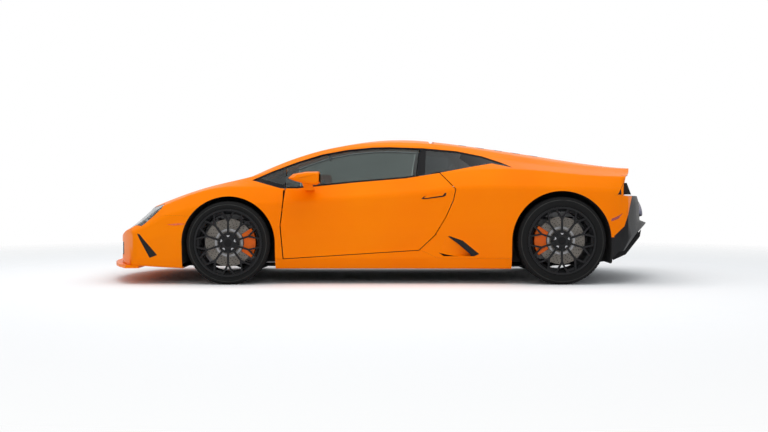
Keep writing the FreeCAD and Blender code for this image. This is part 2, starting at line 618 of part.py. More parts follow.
# ducts behind the side intakes, with one blade across each
duct = band(wall + seat, 62).common(side_prism(grow(placed(INTAKE), 14), -1400, 0)).cut(side_prism(placed(INTAKE)))
back = band(56, 62).common(side_prism(grow(placed(INTAKE), 13), -1400, 0))
BLADE = [(545, 374), (720, 236), (735, 242), (575, 364)]
blade = band(8, 57).common(side_prism(placed(BLADE), -1400, 0))
duct = biggest(duct).fuse([biggest(back), biggest(blade)]).cut(door_hole).cut(liner_space)
duct = duct.cut(box(tub_back - 2, tub_back + BULKHEAD + 2, -tub_half - seat, 0, -50, 2000))
add_shape("intake_ducts", pair(biggest(duct)))

# rear grille with the tail lamps on it, and twin exhausts
FASCIA = [(2012, 520), (2022, 520), (2022, 868), (2012, 868)]
fascia = side_prism(placed(FASCIA), -across(860), across(860)).common(core).cut(lid_hole)
pipe_z, pipe_y, pipe_r = up(575), across(150), 52
PIPE_FRONT, PIPE_BACK = 1790, 2165
pipe_outer = rod((along(PIPE_FRONT) + seat, -pipe_y, up(500)), (along(PIPE_BACK), -pipe_y, pipe_z), pipe_r)
pipe_inner = rod((along(PIPE_FRONT) + 40, -pipe_y, up(508)), (along(PIPE_BACK + 40), -pipe_y, up(583)), pipe_r - 4)
pipes = pair(pipe_outer.cut(pipe_inner).cut(gearbox))
fascia = fascia.cut(pair(rod((along(1990), -pipe_y, up(540)), (along(2120), -pipe_y, up(566)), pipe_r + 3)))
add_shape("rear_grille", biggest(fascia))
add_shape("exhausts", pipes)
TAIL_LAMP = [(2022.3, 714), (2044, 714), (2050, 780), (2022.3, 780)]
tail_lamp = side_prism(placed(TAIL_LAMP), -across(800), -across(430)).cut(fascia)
tail_lamp = tail_lamp.common(trimmed(seat))
add_shape("tail_lamps", pair(biggest(tail_lamp)))

# ---------------------------------------------------------------- suspension
PIVOT_X, ARM_THICK, EYE_R, COLUMN_HALF = 130, 15, 20, 165
arms = []
for end, inner_y in (("front", frame_y + FRAME_WALL + seat), ("rear", rail_y + FRAME_WALL + seat)):
    x, z, y, arch, wall_y = AXLES[end]
    pin_y = y - mm("kingpin_inset")
    for level in (COLUMN_HALF + seat, -COLUMN_HALF - seat - ARM_THICK):
        eye = Part.makeCylinder(EYE_R, ARM_THICK, V(x, -pin_y, z + level))
        for turn in (-1, 1):
            far = V(x + turn * PIVOT_X, -inner_y, z + level)
            leg = far - V(x, -pin_y, z + level)
            across_leg = V(-leg.y, leg.x, 0)
            across_leg.normalize()
            across_leg = across_leg * 10
            ring = [V(x, -pin_y, z + level) + across_leg, far + across_leg + leg * 0.1, far - across_leg + leg * 0.1]
            ring.append(V(x, -pin_y, z + level) - across_leg)
            eye = eye.fuse(Part.Face(Part.makePolygon(ring + ring[:1])).extrude(V(0, 0, ARM_THICK)))
        eye = eye.common(box(x - 400, x + 400, -2000, -inner_y, 0, 2000))
        arms += pair(biggest(eye)).Solids
add_shape("wishbones", Part.makeCompound(arms))

# knuckles carry the front wheels and turn on the kingpins; uprights carry the rear wheels
BEARING_OUTER, COLUMN_X, BRACKET = 58, 22, 14


def carrier(end, caliper_side):
    """Left-hand wheel carrier: a column on the kingpin, a bearing housing and a caliper bracket."""
    x, z, y, arch, wall_y = AXLES[end]
    face = mm(end + "_tyre_width") / 2 - mm("hub_face_depth")
    disc_in = y + face - mm("disc_thick") - 8
    pin_y = y - mm("kingpin_inset")
    column_out = min(pin_y + 16, disc_in - 8)
    column = box(x - COLUMN_X, x + COLUMN_X, -column_out, -(pin_y - 16), z - COLUMN_HALF, z + COLUMN_HALF)
    bearing = cross_rod(x, z, BEARING_OUTER, -column_out, -(pin_y - 56))
    near = column_out - 14 - seat
    reach = (x + 20, x + 150) if caliper_side > 0 else (x - 150, x - 20)
    bracket = box(reach[0], reach[1], -near, -(near - BRACKET), z - 45, z + 45)
    shape = column.fuse([bearing, bracket])
    return shape.cut(cross_rod(x, z, mm("stub_radius") + mm("bearing_gap"), -2000, 0))


def caliper(end, caliper_side):
    """Left-hand brake caliper: a curved block astride the disc."""
    x, z, y, arch, wall_y = AXLES[end]
    face = y + mm(end + "_tyre_width") / 2 - mm("hub_face_depth")
    disc_out, disc_in = face - 4, face - 4 - mm("disc_thick")
    pin_y = y - mm("kingpin_inset")
    column_out = min(pin_y + 16, face - mm("disc_thick") - 16)
    rim = mm("disc_radius")
    block = cross_rod(x, z, rim + 26, -(disc_out + 27), -(column_out - 14))
    block = block.cut(cross_rod(x, z, rim - 68, -2000, 0))
    block = block.cut(cross_rod(x, z, rim + 5, -(disc_out + 5), -(disc_in - 5)))
    wedge = [(0, 0), (400, 260), (400, -260)]
    wedge = [(x + caliper_side * a, z + b) for a, b in wedge]
    return biggest(block.common(side_prism(wedge, -2000, 0)))


knuckle, upright = carrier("front", 1), carrier("rear", -1)
add_shape("knuckle_fl", knuckle)
add_shape("knuckle_fr", mirrored(knuckle))
add_shape("uprights", pair(upright))
front_caliper, rear_caliper = caliper("front", 1), caliper("rear", -1)
add_shape("caliper_fl", front_caliper)
add_shape("caliper_fr", mirrored(front_caliper))
add_shape("rear_calipers", pair(rear_caliper))

# ---------------------------------------------------------------- doors, lids and mirrors

leaves = []
for z in hinge_heights:
    barrel = Part.makeCylinder(BARREL_R, 30, V(door_x, -door_y, z))
    inward = box(door_x, door_x + 8, -door_y, -door_y + 48, z, z + 30)
    strap = box(door_x, along(-740), -door_y + 40, -door_y + 48, z, z + 30)
    leaf = barrel.fuse([inward, strap])
    leaves.append(leaf.cut(Part.makeCylinder(PIN_R + seat, 40, V(door_x, -door_y, z - 5))))
hinged = door.fuse([leaf.cut(door_skin) for leaf in leaves])
MIRROR = [(-742, 800), (-725, 870), (-640, 888), (-500, 884), (-488, 860), (-492, 790), (-560, 765), (-680, 770)]
housing_shell = side_prism(placed(MIRROR), -across(1112), -across(945))
housing_shell = housing_shell.makeFillet(18, [e for e in housing_shell.Edges if abs(e.tangentAt(e.FirstParameter).y) < 0.5 and e.CenterOfMass.y < -across(1100)])
stalk = box(along(-650), along(-500), -across(960), -across(800), up(758), up(778)).cut(loft(-seat))
mirror = housing_shell.fuse(biggest(stalk))
doors = {"left": hinged, "right": mirrored(hinged)}
for side in ("left", "right"):
    add_shape("door_" + side, doors[side])
    add_shape("door_glass_" + side, window if side == "left" else mirrored(window))
    add_shape("mirror_" + side, mirror if side == "left" else mirrored(mirror))

# hinge pins on the body: doors, bonnet and engine cover
pins = []
lug_x = door_x - 60
for z in hinge_heights:
    pin = Part.makeCylinder(PIN_R, 56, V(door_x, -door_y, z - 13))
    lower = box(lug_x, door_x + 9, -door_y - 9, -door_y + 9, z - 13, z - 5)
    upper = box(lug_x, door_x + 9, -door_y - 9, -door_y + 9, z + 35, z + 43)
    root = box(lug_x, tub_front - BULKHEAD - seat, -door_y - 9, -door_y + 70, z - 13, z + 43)
    pins.append(pin.fuse([lower, upper, root]).cut(liner_space))
door_pins = [pair(biggest(p)).Solids for p in pins]
hinge_solids = [solid for group in door_pins for solid in group]

bonnet_axis = (along(-1066), up(826))
lid_axis = (along(380), up(1104))
bonnet_arm_y, lid_arm_y = across(480), across(150)
GOOSENECK = 52


def arm(axis, y, reach):
    """Left-hand hinge arm under a lid: a barrel on the axis, a flat strap and a riser to the lid."""
    x, z = axis
    turn = math.copysign(1, reach)
    barrel = cross_rod(x, z, BARREL_R, -y - 12, -y + 12)
    far = x + reach
    strap = box(min(x, far), max(x, far), -y - 12, -y + 12, z - 16, z)
    near = x + turn * GOOSENECK
    riser = box(min(near, far), max(near, far), -y - 12, -y + 12, z - 16, z + 70)
    shape = barrel.fuse([strap, riser]).common(loft(mm("lid_wall") - 1))
    return biggest(shape.cut(cross_rod(x, z, PIN_R + mm("bearing_gap"), -y - 40, -y + 40)))


def lid_bracket(axis, y, foot):
    """Left-hand hinge pin with its two ears, standing on the body at foot (a box)."""
    x, z = axis
    pin = cross_rod(x, z, PIN_R, -y - 22, -y + 22)
    ears = [box(x - 8, x + 8, side - 4, side + 4, z - 30, z + 8) for side in (-y - 18, -y + 18)]
    bridge = box(x - 8, x + 8, -y - 22, -y + 22, z - 30, z - 22)
    return pin.fuse(ears + [bridge, foot])


lid_arm = arm(lid_axis, lid_arm_y, 120)
bx, bz = bonnet_axis
bonnet_barrel = cross_rod(bx, bz, BARREL_R, -bonnet_arm_y - 12, -bonnet_arm_y + 12)
link = box(bx - 28, bx, -bonnet_arm_y - 12, -bonnet_arm_y + 12, bz - 14, bz - 4)
strap = box(bx - 116, bx - 20, -bonnet_arm_y - 12, -bonnet_arm_y + 12, bz - 50, bz + 40)
bonnet_arm = bonnet_barrel.fuse([link, strap.common(loft(mm("lid_wall") - 1))])
bonnet_arm = bonnet_arm.cut(cross_rod(bx, bz, PIN_R + mm("bearing_gap"), -bonnet_arm_y - 40, -bonnet_arm_y + 40))
foot = box(bx - 8, tub_front - BULKHEAD - seat, -bonnet_arm_y - 22, -bonnet_arm_y + 22, bz - 90, bz - 82)
foot = foot.fuse(box(bx - 8, bx + 8, -bonnet_arm_y - 22, -bonnet_arm_y + 22, bz - 90, bz - 22))
hinge_solids += pair(lid_bracket(bonnet_axis, bonnet_arm_y, foot)).Solids
lx, lz = lid_axis
foot = box(lx - 8, tub_back - seat, -lid_arm_y - 22, -lid_arm_y + 22, lz - 70, lz - 22)
hinge_solids += pair(lid_bracket(lid_axis, lid_arm_y, foot)).Solids
bonnet_arms = bonnet_arm.fuse(mirrored(bonnet_arm))
lid_arms = lid_arm.fuse(mirrored(lid_arm))
bonnet_full = biggest(biggest(bonnet).fuse(bonnet_arms.Solids))
lid_full = biggest(biggest(lid).fuse(lid_arms.Solids))
add_shape("bonnet", bonnet_full)
add_shape("engine_cover", lid_full)

# ---------------------------------------------------------------- wheels
def plane(body, role):
    return next(f for f in body.Origin.OriginFeatures if f.Role == role)


def value_of(number):
    return number.value if isinstance(number, Size) else float(number)


def sketch(body, role, name, points):
    """A closed outline in a body's sketch, each corner bound to the sheet where it uses a size."""
    drawing = body.newObject("Sketcher::SketchObject", name)
    drawing.AttachmentSupport = [(plane(body, role), "")]
    drawing.MapMode = "FlatFace"
    places = [V(value_of(a), value_of(b), 0) for a, b in points]
    count = len(places)
    for i in range(count):
        drawing.addGeometry(Part.LineSegment(places[i], places[(i + 1) % count]))
    for i in range(count):
        drawing.addConstraint(Sketcher.Constraint("Coincident", i, 2, (i + 1) % count, 1))
    for i, point in enumerate(points):
        for kind, coordinate in zip(("DistanceX", "DistanceY"), point):
            number = value_of(coordinate)
            index = drawing.addConstraint(Sketcher.Constraint(kind, -1, 1, i, 1, number))
            if isinstance(coordinate, Size):
                drawing.setExpression("Constraints[%d]" % index, coordinate.text)
    return drawing


def revolve(body, drawing, name):
    turn = body.newObject("PartDesign::Revolution", name)
    turn.Profile = drawing
    turn.ReferenceAxis = (drawing, ["V_Axis"])
    turn.Angle = 360
    return turn


def body_named(label):
    body = doc.addObject("PartDesign::Body", label)
    body.Label = label
    parts.append(body)
    return body


SPOKES = 10
for corner_name, end, side in (("fl", "front", -1), ("fr", "front", 1), ("rl", "rear", -1), ("rr", "rear", 1)):
    x, z, y, arch, wall_y = AXLES[end]
    place = FreeCAD.Placement(V(x, side * y, z), FreeCAD.Rotation(V(0, 0, 1), 0 if side < 0 else 180))
    radius, half, bead = size(end + "_tyre_radius"), size(end + "_tyre_width") / 2, size("bead_radius")
    # tyre: sidewalls, shoulders and a flat tread, open toward the rim
    tyre = body_named("tyre_" + corner_name)
    profile = [
        (bead, -half + 18), (bead + 11, -half + 18), (bead + 30, -half), (radius - 16, -half + 3), (radius - 4, -half + 14),
        (radius, -half + 30), (radius, half - 30), (radius - 4, half - 14), (radius - 16, half - 3),
        (bead + 30, half), (bead + 11, half - 18), (bead, half - 18), (bead, half - 32), (bead + 26, half - 14),
        (radius - 18, half - 18), (radius - 18, -half + 18), (bead + 26, -half + 14), (bead, -half + 32),
    ]
    revolve(tyre, sketch(tyre, "XY_Plane", "TyreSection_" + corner_name, profile), "TyreRing_" + corner_name)
    # rim: barrel, forked spokes in a ring, and the hub
    rim = body_named("rim_" + corner_name)
    seat_r = bead - 0.3
    profile = [
        (bead + 10, -half + 9), (bead + 10, -half + 17.5), (seat_r, -half + 17.5), (seat_r, -half + 34),
        (seat_r - 20, -half + 48), (seat_r - 20, half - 48), (seat_r, half - 34), (seat_r, half - 17.5),
        (bead + 8, half - 17.5), (bead + 8, half - 11), (seat_r - 8, half - 11), (seat_r - 8, half - 30),
        (seat_r - 28, half - 44), (seat_r - 28, -half + 44), (seat_r - 9, -half + 30), (seat_r - 6, -half + 9),
    ]
    revolve(rim, sketch(rim, "XY_Plane", "Barrel_" + corner_name, profile), "BarrelRing_" + corner_name)
    spoke = sketch(rim, "XZ_Plane", "Spoke_" + corner_name, [
        (-9, 60), (-7, 165), (-53, seat_r - 6), (-42, seat_r - 4), (0, 184), (42, seat_r - 4),
        (53, seat_r - 6), (7, 165), (9, 60),
    ])
    spoke.AttachmentOffset = FreeCAD.Placement(V(0, 0, float(half) - 36), FreeCAD.Rotation())
    spoke.setExpression("AttachmentOffset.Base.z", (half - 36).text)
    pad = rim.newObject("PartDesign::Pad", "SpokePad_" + corner_name)
    pad.Profile = spoke
    pad.Length = 22
    ring = rim.newObject("PartDesign::PolarPattern", "Spokes_" + corner_name)
    ring.Originals = [pad]
    ring.Axis = (plane(rim, "Y_Axis"), [""])
    ring.Angle = 360
    ring.Occurrences = SPOKES
    rim.Tip = ring
    depth = size("hub_face_depth")
    hub = sketch(rim, "XY_Plane", "Hub_" + corner_name, [
        (0, -half + 18), (40, -half + 18), (78, -half + 30), (84, -half + 58), (84, -half + depth),
        (0, -half + depth),
    ])
    rim.Tip = revolve(rim, hub, "HubTurn_" + corner_name)
    # disc with its bell, hub flange and stub; a rear one carries its half shaft
    disc = body_named("disc_" + corner_name)
    thick, rotor = size("disc_thick"), size("disc_radius")
    flange = -half + depth + 0.3
    pin = size("kingpin_inset")
    profile = [(0, flange), (92, flange), (92, flange + 3.7), (rotor, flange + 3.7), (rotor, flange + 3.7 + thick)]
    profile += [(112, flange + 3.7 + thick), (104, flange + 12), (70, flange + 12)]
    profile += [(size("stub_radius"), flange + 14), (size("stub_radius"), pin + 60)]
    if end == "rear":
        shaft_end = y - across(220) - 0.3
        profile += [(46, pin + 62), (46, pin + 100), (17, pin + 104), (17, shaft_end), (0, shaft_end)]
    else:
        profile += [(0, pin + 60)]
    revolve(disc, sketch(disc, "XY_Plane", "DiscSection_" + corner_name, profile), "DiscTurn_" + corner_name)
    for piece in (tyre, rim, disc):
        piece.Placement = place

# steering wheel: a ring with a flat boss and three spokes, square to its column
wheel_place = FreeCAD.Placement(V(along(-430), -seat_y, up(650)), FreeCAD.Rotation(V(0, 1, 0), 90 - 22))
ring_r = mm("steering_wheel_radius")
hoop = Part.makeTorus(ring_r, 15)
boss = Part.makeCylinder(52, 34, V(0, 0, -22))
column = Part.makeCylinder(24, 90, V(0, 0, -110))
bars = [Part.makeBox(ring_r, 30, 12, V(0, -15, -6)) for turn in range(3)]
for bar, angle in zip(bars, (0, 90, -90)):
    bar.rotate(V(0, 0, 0), V(0, 0, 1), angle)
add_shape("steering_wheel", hoop.fuse([boss, column] + bars), wheel_place)
COLUMN_DEPTH, COWL_LENGTH = 110, 300
cowl_top = wheel_place.multVec(V(0, 0, -COLUMN_DEPTH - seat))
cowl_foot = wheel_place.multVec(V(0, 0, -COLUMN_DEPTH - seat - COWL_LENGTH))
cowl = rod(cowl_top, cowl_foot, 34).cut(dash).cut(box(-3000, tub_front + seat, -2000, 2000, 0, 2000))
add_shape("steering_column", biggest(cowl))
add_shape("hinge_brackets", Part.makeCompound(hinge_solids))


doc.recompute()
bad = [part.Label for part in parts if "Invalid" in part.State or part.Shape.isNull() or not part.Shape.isValid()]
if bad:
    raise RuntimeError("failed: " + ", ".join(bad))
os.makedirs("parts", exist_ok=True)
for part in parts:
    part.Shape.exportStep("parts/%s.step" % part.Label)
    print(part.Label, len(part.Shape.Solids), round(part.Shape.Volume / 1e6, 3))
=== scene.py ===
import bmesh
import bpy
import math
from mathutils import Matrix, Vector
from mathutils.bvhtree import BVHTree


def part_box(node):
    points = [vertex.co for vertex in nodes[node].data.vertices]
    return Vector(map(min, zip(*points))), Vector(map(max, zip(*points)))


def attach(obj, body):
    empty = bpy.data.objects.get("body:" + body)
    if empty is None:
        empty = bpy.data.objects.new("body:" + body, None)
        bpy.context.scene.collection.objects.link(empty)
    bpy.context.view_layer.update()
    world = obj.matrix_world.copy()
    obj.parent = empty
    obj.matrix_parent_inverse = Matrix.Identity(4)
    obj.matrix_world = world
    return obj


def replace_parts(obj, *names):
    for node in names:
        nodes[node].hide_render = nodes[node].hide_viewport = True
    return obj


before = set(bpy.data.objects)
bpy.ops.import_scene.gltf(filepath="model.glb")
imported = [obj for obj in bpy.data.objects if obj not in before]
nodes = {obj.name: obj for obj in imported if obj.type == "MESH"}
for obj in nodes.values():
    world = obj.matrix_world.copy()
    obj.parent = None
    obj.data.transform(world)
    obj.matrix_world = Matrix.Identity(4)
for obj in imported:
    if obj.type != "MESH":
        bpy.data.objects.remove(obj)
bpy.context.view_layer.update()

# -------- studio
# A pale floor under a white surround, lit by a wide soft box overhead and a weak one at each side. The floor
# glows a little to the camera, but not over the car's footprint, which paints shade under the car on top of
# its real shadow. The camera stands ten metres out, level with the car's belt line.
STAND, AIM, LENS = Vector((0.009, -9.95, 0.75)), Vector((0.009, -0.95, 0.54)), 53.9
LAMPS = [("overhead_box", (-0.6, -1.0, 5.2), (0.0, 0.0, 0.0), (8.0, 5.0), 200),
         ("near_side_box", (-1.5, -8.5, 3.6), (0.0, 0.0, 0.4), (6.0, 2.5), 68),
         ("far_side_box", (1.5, 8.5, 3.6), (0.0, 0.0, 0.4), (6.0, 2.5), 50)]
SKY, SKY_LEVEL, WHITE = (0.92, 0.96, 1.0, 1), 0.6, (1, 1, 1, 1)
scene = bpy.context.scene
scene.view_settings.view_transform = "Standard"
camera = bpy.data.objects.new("camera", bpy.data.cameras.new("camera"))
scene.collection.objects.link(camera)
camera.location = STAND
camera.data.lens = LENS
camera.rotation_euler = (AIM - STAND).to_track_quat("-Z", "Y").to_euler()
scene.camera = camera
for name, place, target, size, watts in LAMPS:
    lamp = bpy.data.lights.new(name, "AREA")
    lamp.shape = "RECTANGLE"
    lamp.size, lamp.size_y = size
    lamp.energy = watts
    holder = bpy.data.objects.new(name, lamp)
    scene.collection.objects.link(holder)
    holder.visible_glossy = False
    holder.location = place
    holder.rotation_euler = (Vector(target) - Vector(place)).to_track_quat("-Z", "Y").to_euler()


def joined(tree, kind, links, **settings):
    """A node with its settings and its inputs linked (socket) or set (value)."""
    node = tree.nodes.new("ShaderNode" + kind)
    for key, value in settings.items():
        setattr(node, key, value)
    for key, value in links.items():
        if isinstance(value, bpy.types.NodeSocket):
            tree.links.new(value, node.inputs[key])
        else:
            node.inputs[key].default_value = value
    return node


def filled(node, values):
    """Sets some inputs of a node."""
    for key, value in values.items():
        node.inputs[key].default_value = value


def here(tree):
    """Where a point is on its own piece."""
    return joined(tree, "TexCoord", {}).outputs["Object"]


def worked(tree, operation, *values, kind="Math"):
    """The result of a maths node on some sockets and values."""
    node = joined(tree, kind, dict(enumerate(values)), operation=operation)
    return node.outputs["Value" if kind == "Math" or operation == "LENGTH" else "Vector"]


def blank(name):
    """A new material, its node tree and its shader."""
    material = bpy.data.materials.new(name)
    material.use_nodes = True
    return material, material.node_tree, material.node_tree.nodes["Principled BSDF"]


def solid(name, bm, material=None, slot="black_plastic", body="body", smooth=40):
    """Makes a finished piece from a bmesh and lets it ride on a body."""
    bmesh.ops.recalc_face_normals(bm, faces=bm.faces[:])
    mesh = bpy.data.meshes.new(name)
    bm.to_mesh(mesh)
    bm.free()
    piece = bpy.data.objects.new(name, mesh)
    scene.collection.objects.link(piece)
    if material:
        mesh.materials.append(material)
    if smooth:
        mesh.shade_smooth()
        mesh.set_sharp_from_angle(angle=math.radians(smooth))
    if body:
        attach(piece, body)
    return piece


world = bpy.data.worlds.new("surround")
scene.world = world
world.use_nodes = True
surround = world.node_tree
surround.nodes.clear()
rays = joined(surround, "LightPath", {}).outputs
seen = worked(surround, "MAXIMUM", rays["Is Camera Ray"], rays["Is Glossy Ray"])
seen = worked(surround, "MAXIMUM", seen, rays["Is Transmission Ray"])
lit = joined(surround, "Background", {"Color": SKY, "Strength": SKY_LEVEL})
white = joined(surround, "Background", {"Color": WHITE})
pick = joined(surround, "MixShader", {"Fac": seen, 1: lit.outputs[0], 2: white.outputs[0]})
joined(surround, "OutputWorld", {"Surface": pick.outputs[0]})

FLOOR_RADIUS, FADE_FROM, FADE_TO, CAR_HALF, PAINTED_SHADOW_RUN, GLOW = 16, 3.6, 7.5, (2.0, 0.75, 0), 0.7, 0.1
bm = bmesh.new()
bmesh.ops.create_circle(bm, cap_ends=True, segments=96, radius=FLOOR_RADIUS)
floor_finish, tree, matt = blank("studio_floor")
floor = solid("studio_floor", bm, floor_finish, body=None, smooth=0)
filled(matt, {"Base Color": (0.9, 0.9, 0.9, 1), "Roughness": 1.0, "Specular IOR Level": 0.0})
place = here(tree)
out = worked(tree, "LENGTH", place, kind="VectorMath")
fade = joined(tree, "MapRange", {"Value": out, "From Min": FADE_FROM, "From Max": FADE_TO})
away = place
for operation, *value in (("ABSOLUTE",), ("SUBTRACT", CAR_HALF), ("MAXIMUM", (0, 0, 0)), ("LENGTH",)):
    away = worked(tree, operation, away, *value, kind="VectorMath")
# Painted shadow: the camera-only glow is held off the car's footprint and fades in over the next 0.7 m, so
# the floor is painted darker under and around the car.
outside_painted_shadow = joined(tree, "MapRange", {"Value": away, "From Max": PAINTED_SHADOW_RUN})
sight = joined(tree, "LightPath", {}).outputs["Is Camera Ray"]
lift = worked(tree, "MULTIPLY", worked(tree, "MULTIPLY", sight, outside_painted_shadow.outputs[0]), GLOW)
glow = joined(tree, "Emission", {"Color": WHITE, "Strength": lift})
shone = joined(tree, "AddShader", {0: matt.outputs[0], 1: glow.outputs[0]})
clear = joined(tree, "BsdfTransparent", {})
blend = joined(tree, "MixShader", {"Fac": fade.outputs[0], 1: shone.outputs[0], 2: clear.outputs[0]})
tree.links.new(blend.outputs[0], tree.nodes["Material Output"].inputs["Surface"])

# -------- painted body panels
# Pressed aluminium and moulded composite panels in solid orange under clear lacquer, sprayed
# and baked. The lacquer has a faint orange peel, and the colour drifts a little over a panel.
GRAIN_IN = [("Color", "Color", (0.5, 0.5, 0.5, 1)), ("Shade", "Color", (0.4, 0.4, 0.4, 1)),
            ("Drift", "Float", 3.0), ("Grain", "Float", 400.0), ("Roughness", "Float", 0.5),
            ("Swing", "Float", 0.1), ("Relief", "Float", 0.1)]


def group(name, inputs):
    """An empty finish group: its tree, the sockets that come in, and its end."""
    made = bpy.data.node_groups.new(name, "ShaderNodeTree")
    for label, kind, value in inputs:
        socket = made.interface.new_socket(label, in_out="INPUT", socket_type="NodeSocket" + kind)
        socket.default_value = value
    for label, kind in (("Color", "Color"), ("Roughness", "Float"), ("Normal", "Vector")):
        made.interface.new_socket(label, in_out="OUTPUT", socket_type="NodeSocket" + kind)
    return made, made.nodes.new("NodeGroupInput").outputs, made.nodes.new("NodeGroupOutput").inputs


def closed_group(tree, into, end, mask, fine, height, distance):
    """Tints by a mask, roughens by a fine noise and raises a bump, and puts the three out."""
    tint = joined(tree, "Mix", {0: mask, 6: into["Color"], 7: into["Shade"]}, data_type="RGBA")
    bump = joined(tree, "Bump", {"Height": height, "Strength": into["Relief"], "Distance": distance})
    tree.links.new(tint.outputs[2], end["Color"])
    tree.links.new(worked(tree, "MULTIPLY_ADD", fine, into["Swing"], into["Roughness"]), end["Roughness"])
    tree.links.new(bump.outputs["Normal"], end["Normal"])


def noise(tree, place, scale, detail):
    return joined(tree, "TexNoise", {"Vector": place, "Scale": scale, "Detail": detail}).outputs["Fac"]


grain_group, into, end = group("surface_grain", GRAIN_IN)
place = here(grain_group)
fine = noise(grain_group, place, into["Grain"], 3.0)
cloud = noise(grain_group, place, into["Drift"], 4.0)
mask = joined(grain_group, "MapRange", {"Value": cloud, "From Min": 0.35, "From Max": 0.65})
closed_group(grain_group, into, end, mask.outputs[0], worked(grain_group, "SUBTRACT", fine, 0.5), fine, 0.001)


def finish(name, color, shade=None, drift=3.0, grain=400.0, rough=0.5, swing=0.1, relief=0.1, gleam=0.5,
           pattern=grain_group, more=None, **fixed):
    """A material whose colour, roughness and relief come from a group; its other sockets are fixed."""
    material, tree, shader = blank(name)
    looks = tree.nodes.new("ShaderNodeGroup")
    looks.node_tree = pattern
    shade = shade or [c * 0.86 for c in color]
    filled(looks, {"Color": (*color, 1), "Shade": (*shade, 1), "Drift": drift, "Grain": grain,
                   "Roughness": rough, "Swing": swing, "Relief": relief, **(more or {})})
    for target, source in (("Base Color", "Color"), ("Roughness", "Roughness"), ("Normal", "Normal")):
        tree.links.new(looks.outputs[source], shader.inputs[target])
    filled(shader, {"Specular IOR Level": gleam, **{key.replace("_", " "): fixed[key] for key in fixed}})
    return material


def dress(material, *names):
    """Gives CAD pieces that stay in view their finish."""
    for name in names:
        for holder in nodes[name].material_slots:
            holder.material = material


paint = finish("orange_lacquer", (1.0, 0.232, 0.0), (0.98, 0.205, 0.0), drift=1.6, grain=900, rough=0.42,
               swing=0.05, relief=0.05, Coat_Weight=0.2, Coat_Roughness=0.04, Coat_IOR=1.25, gleam=0.03)
dress(paint, "front_splitter", "roof_panel", "side_sills", "engine_cover", "door_left", "door_right")

# -------- black mouldings
# Satin-black injection-moulded plastic: floor, diffuser, liners, ducts and grille. A fine
# spark-eroded grain comes from the mould, and the parts are clipped and screwed on.
black = finish("satin_black_moulding", (0.016, 0.016, 0.017), (0.022, 0.022, 0.023), drift=6, grain=1400,
               rough=0.46, swing=0.2, relief=0.25, gleam=0.1)
gloss_black = finish("gloss_black_moulding", (0.008, 0.008, 0.009), drift=2, grain=900, rough=0.2, swing=0.04,
                     relief=0.03, gleam=0.12)
rubber = finish("seal_rubber", (0.010, 0.010, 0.010), (0.016, 0.016, 0.016), drift=9, grain=700, rough=0.72,
                swing=0.2, relief=0.35, gleam=0.05)
felt = finish("arch_felt", (0.014, 0.014, 0.014), (0.024, 0.024, 0.024), drift=12, grain=500, rough=0.95,
              relief=0.8)
dress(black, "floor_pan", "intake_ducts", "luggage_tub", "steering_column")
dress(felt, "wheel_liners")

# -------- glass
# Five-millimetre laminated and toughened panes with a slight grey-green tint, bonded flush with
# a black printed border. The door panes stand frameless in their seals.
def clear_pane(name, tint):
    """Glass that lets light straight through and mirrors its surroundings at a slant."""
    material, tree, shader = blank(name)
    place = here(tree)
    ripple = joined(tree, "TexNoise", {"Vector": place, "Scale": 3.0})
    bump = joined(tree, "Bump", {"Height": ripple.outputs["Fac"], "Strength": 0.02, "Distance": 0.002})
    tone = joined(tree, "Mix", {0: ripple.outputs["Fac"], 6: (*tint, 1), 7: (*[c * 0.9 for c in tint], 1)},
                  data_type="RGBA")
    tree.links.new(tone.outputs[2], shader.inputs["Base Color"])
    tree.links.new(bump.outputs["Normal"], shader.inputs["Normal"])
    filled(shader, {"Roughness": 0.0, "IOR": 1.45, "Transmission Weight": 1.0})
    return material


dress(clear_pane("tinted_glass", (0.22, 0.26, 0.25)), "door_glass_left", "door_glass_right", "rear_window")
dress(clear_pane("dark_quarter_glass", (0.09, 0.115, 0.12)), "quarter_windows")
dress(clear_pane("windscreen_glass", (0.36, 0.41, 0.4)), "windscreen")
lens_clear = clear_pane("clear_lens", (0.6, 0.62, 0.64))
lens_red = clear_pane("red_lens", (0.9, 0.05, 0.04))

# -------- metals, leather and composite
# Cast and machined alloy and steel of the frames, engine and hinges, the cabin's moulded tub, and
# black leather on the steering wheel.
alloy = finish("cast_alloy", (0.42, 0.42, 0.43), (0.36, 0.36, 0.37), drift=14, grain=260, rough=0.42,
               swing=0.2, relief=0.3, Metallic=1.0)
steel = finish("machined_steel", (0.5, 0.5, 0.52), drift=8, grain=600, rough=0.28, swing=0.15, Metallic=1.0)
pipe_steel = finish("heat_tinted_steel", (0.38, 0.34, 0.31), (0.2, 0.2, 0.26), drift=9, grain=300, rough=0.25,
                    swing=0.15, relief=0.08, Metallic=1.0)
carbon = finish("tub_composite", (0.02, 0.02, 0.022), (0.03, 0.03, 0.032), drift=20, grain=300, rough=0.4,
                swing=0.2, relief=0.15, Coat_Weight=0.4, Coat_Roughness=0.1)
leather = finish("black_leather", (0.018, 0.018, 0.02), (0.028, 0.027, 0.028), drift=7, grain=260, rough=0.55,
                 swing=0.2, relief=0.5)
dress(alloy, "front_frame", "engine")
dress(steel, "hinge_brackets")
dress(pipe_steel, "exhausts")
dress(carbon, "cabin_tub")
dress(leather, "steering_wheel")

# -------- rims
# Forged ten-spoke rims with forked arms, turned and coated satin black, each held by five bolts
# round a plain cap. The forged edges are broken all round.
def merged(name):
    """A CAD piece's mesh with its loose triangles joined and its flats cleared."""
    bm = bmesh.new()
    bm.from_mesh(nodes[name].data)
    bmesh.ops.remove_doubles(bm, verts=bm.verts[:], dist=1e-5)
    bmesh.ops.dissolve_limit(bm, angle_limit=math.radians(1), verts=bm.verts[:], edges=bm.edges[:])
    return bm


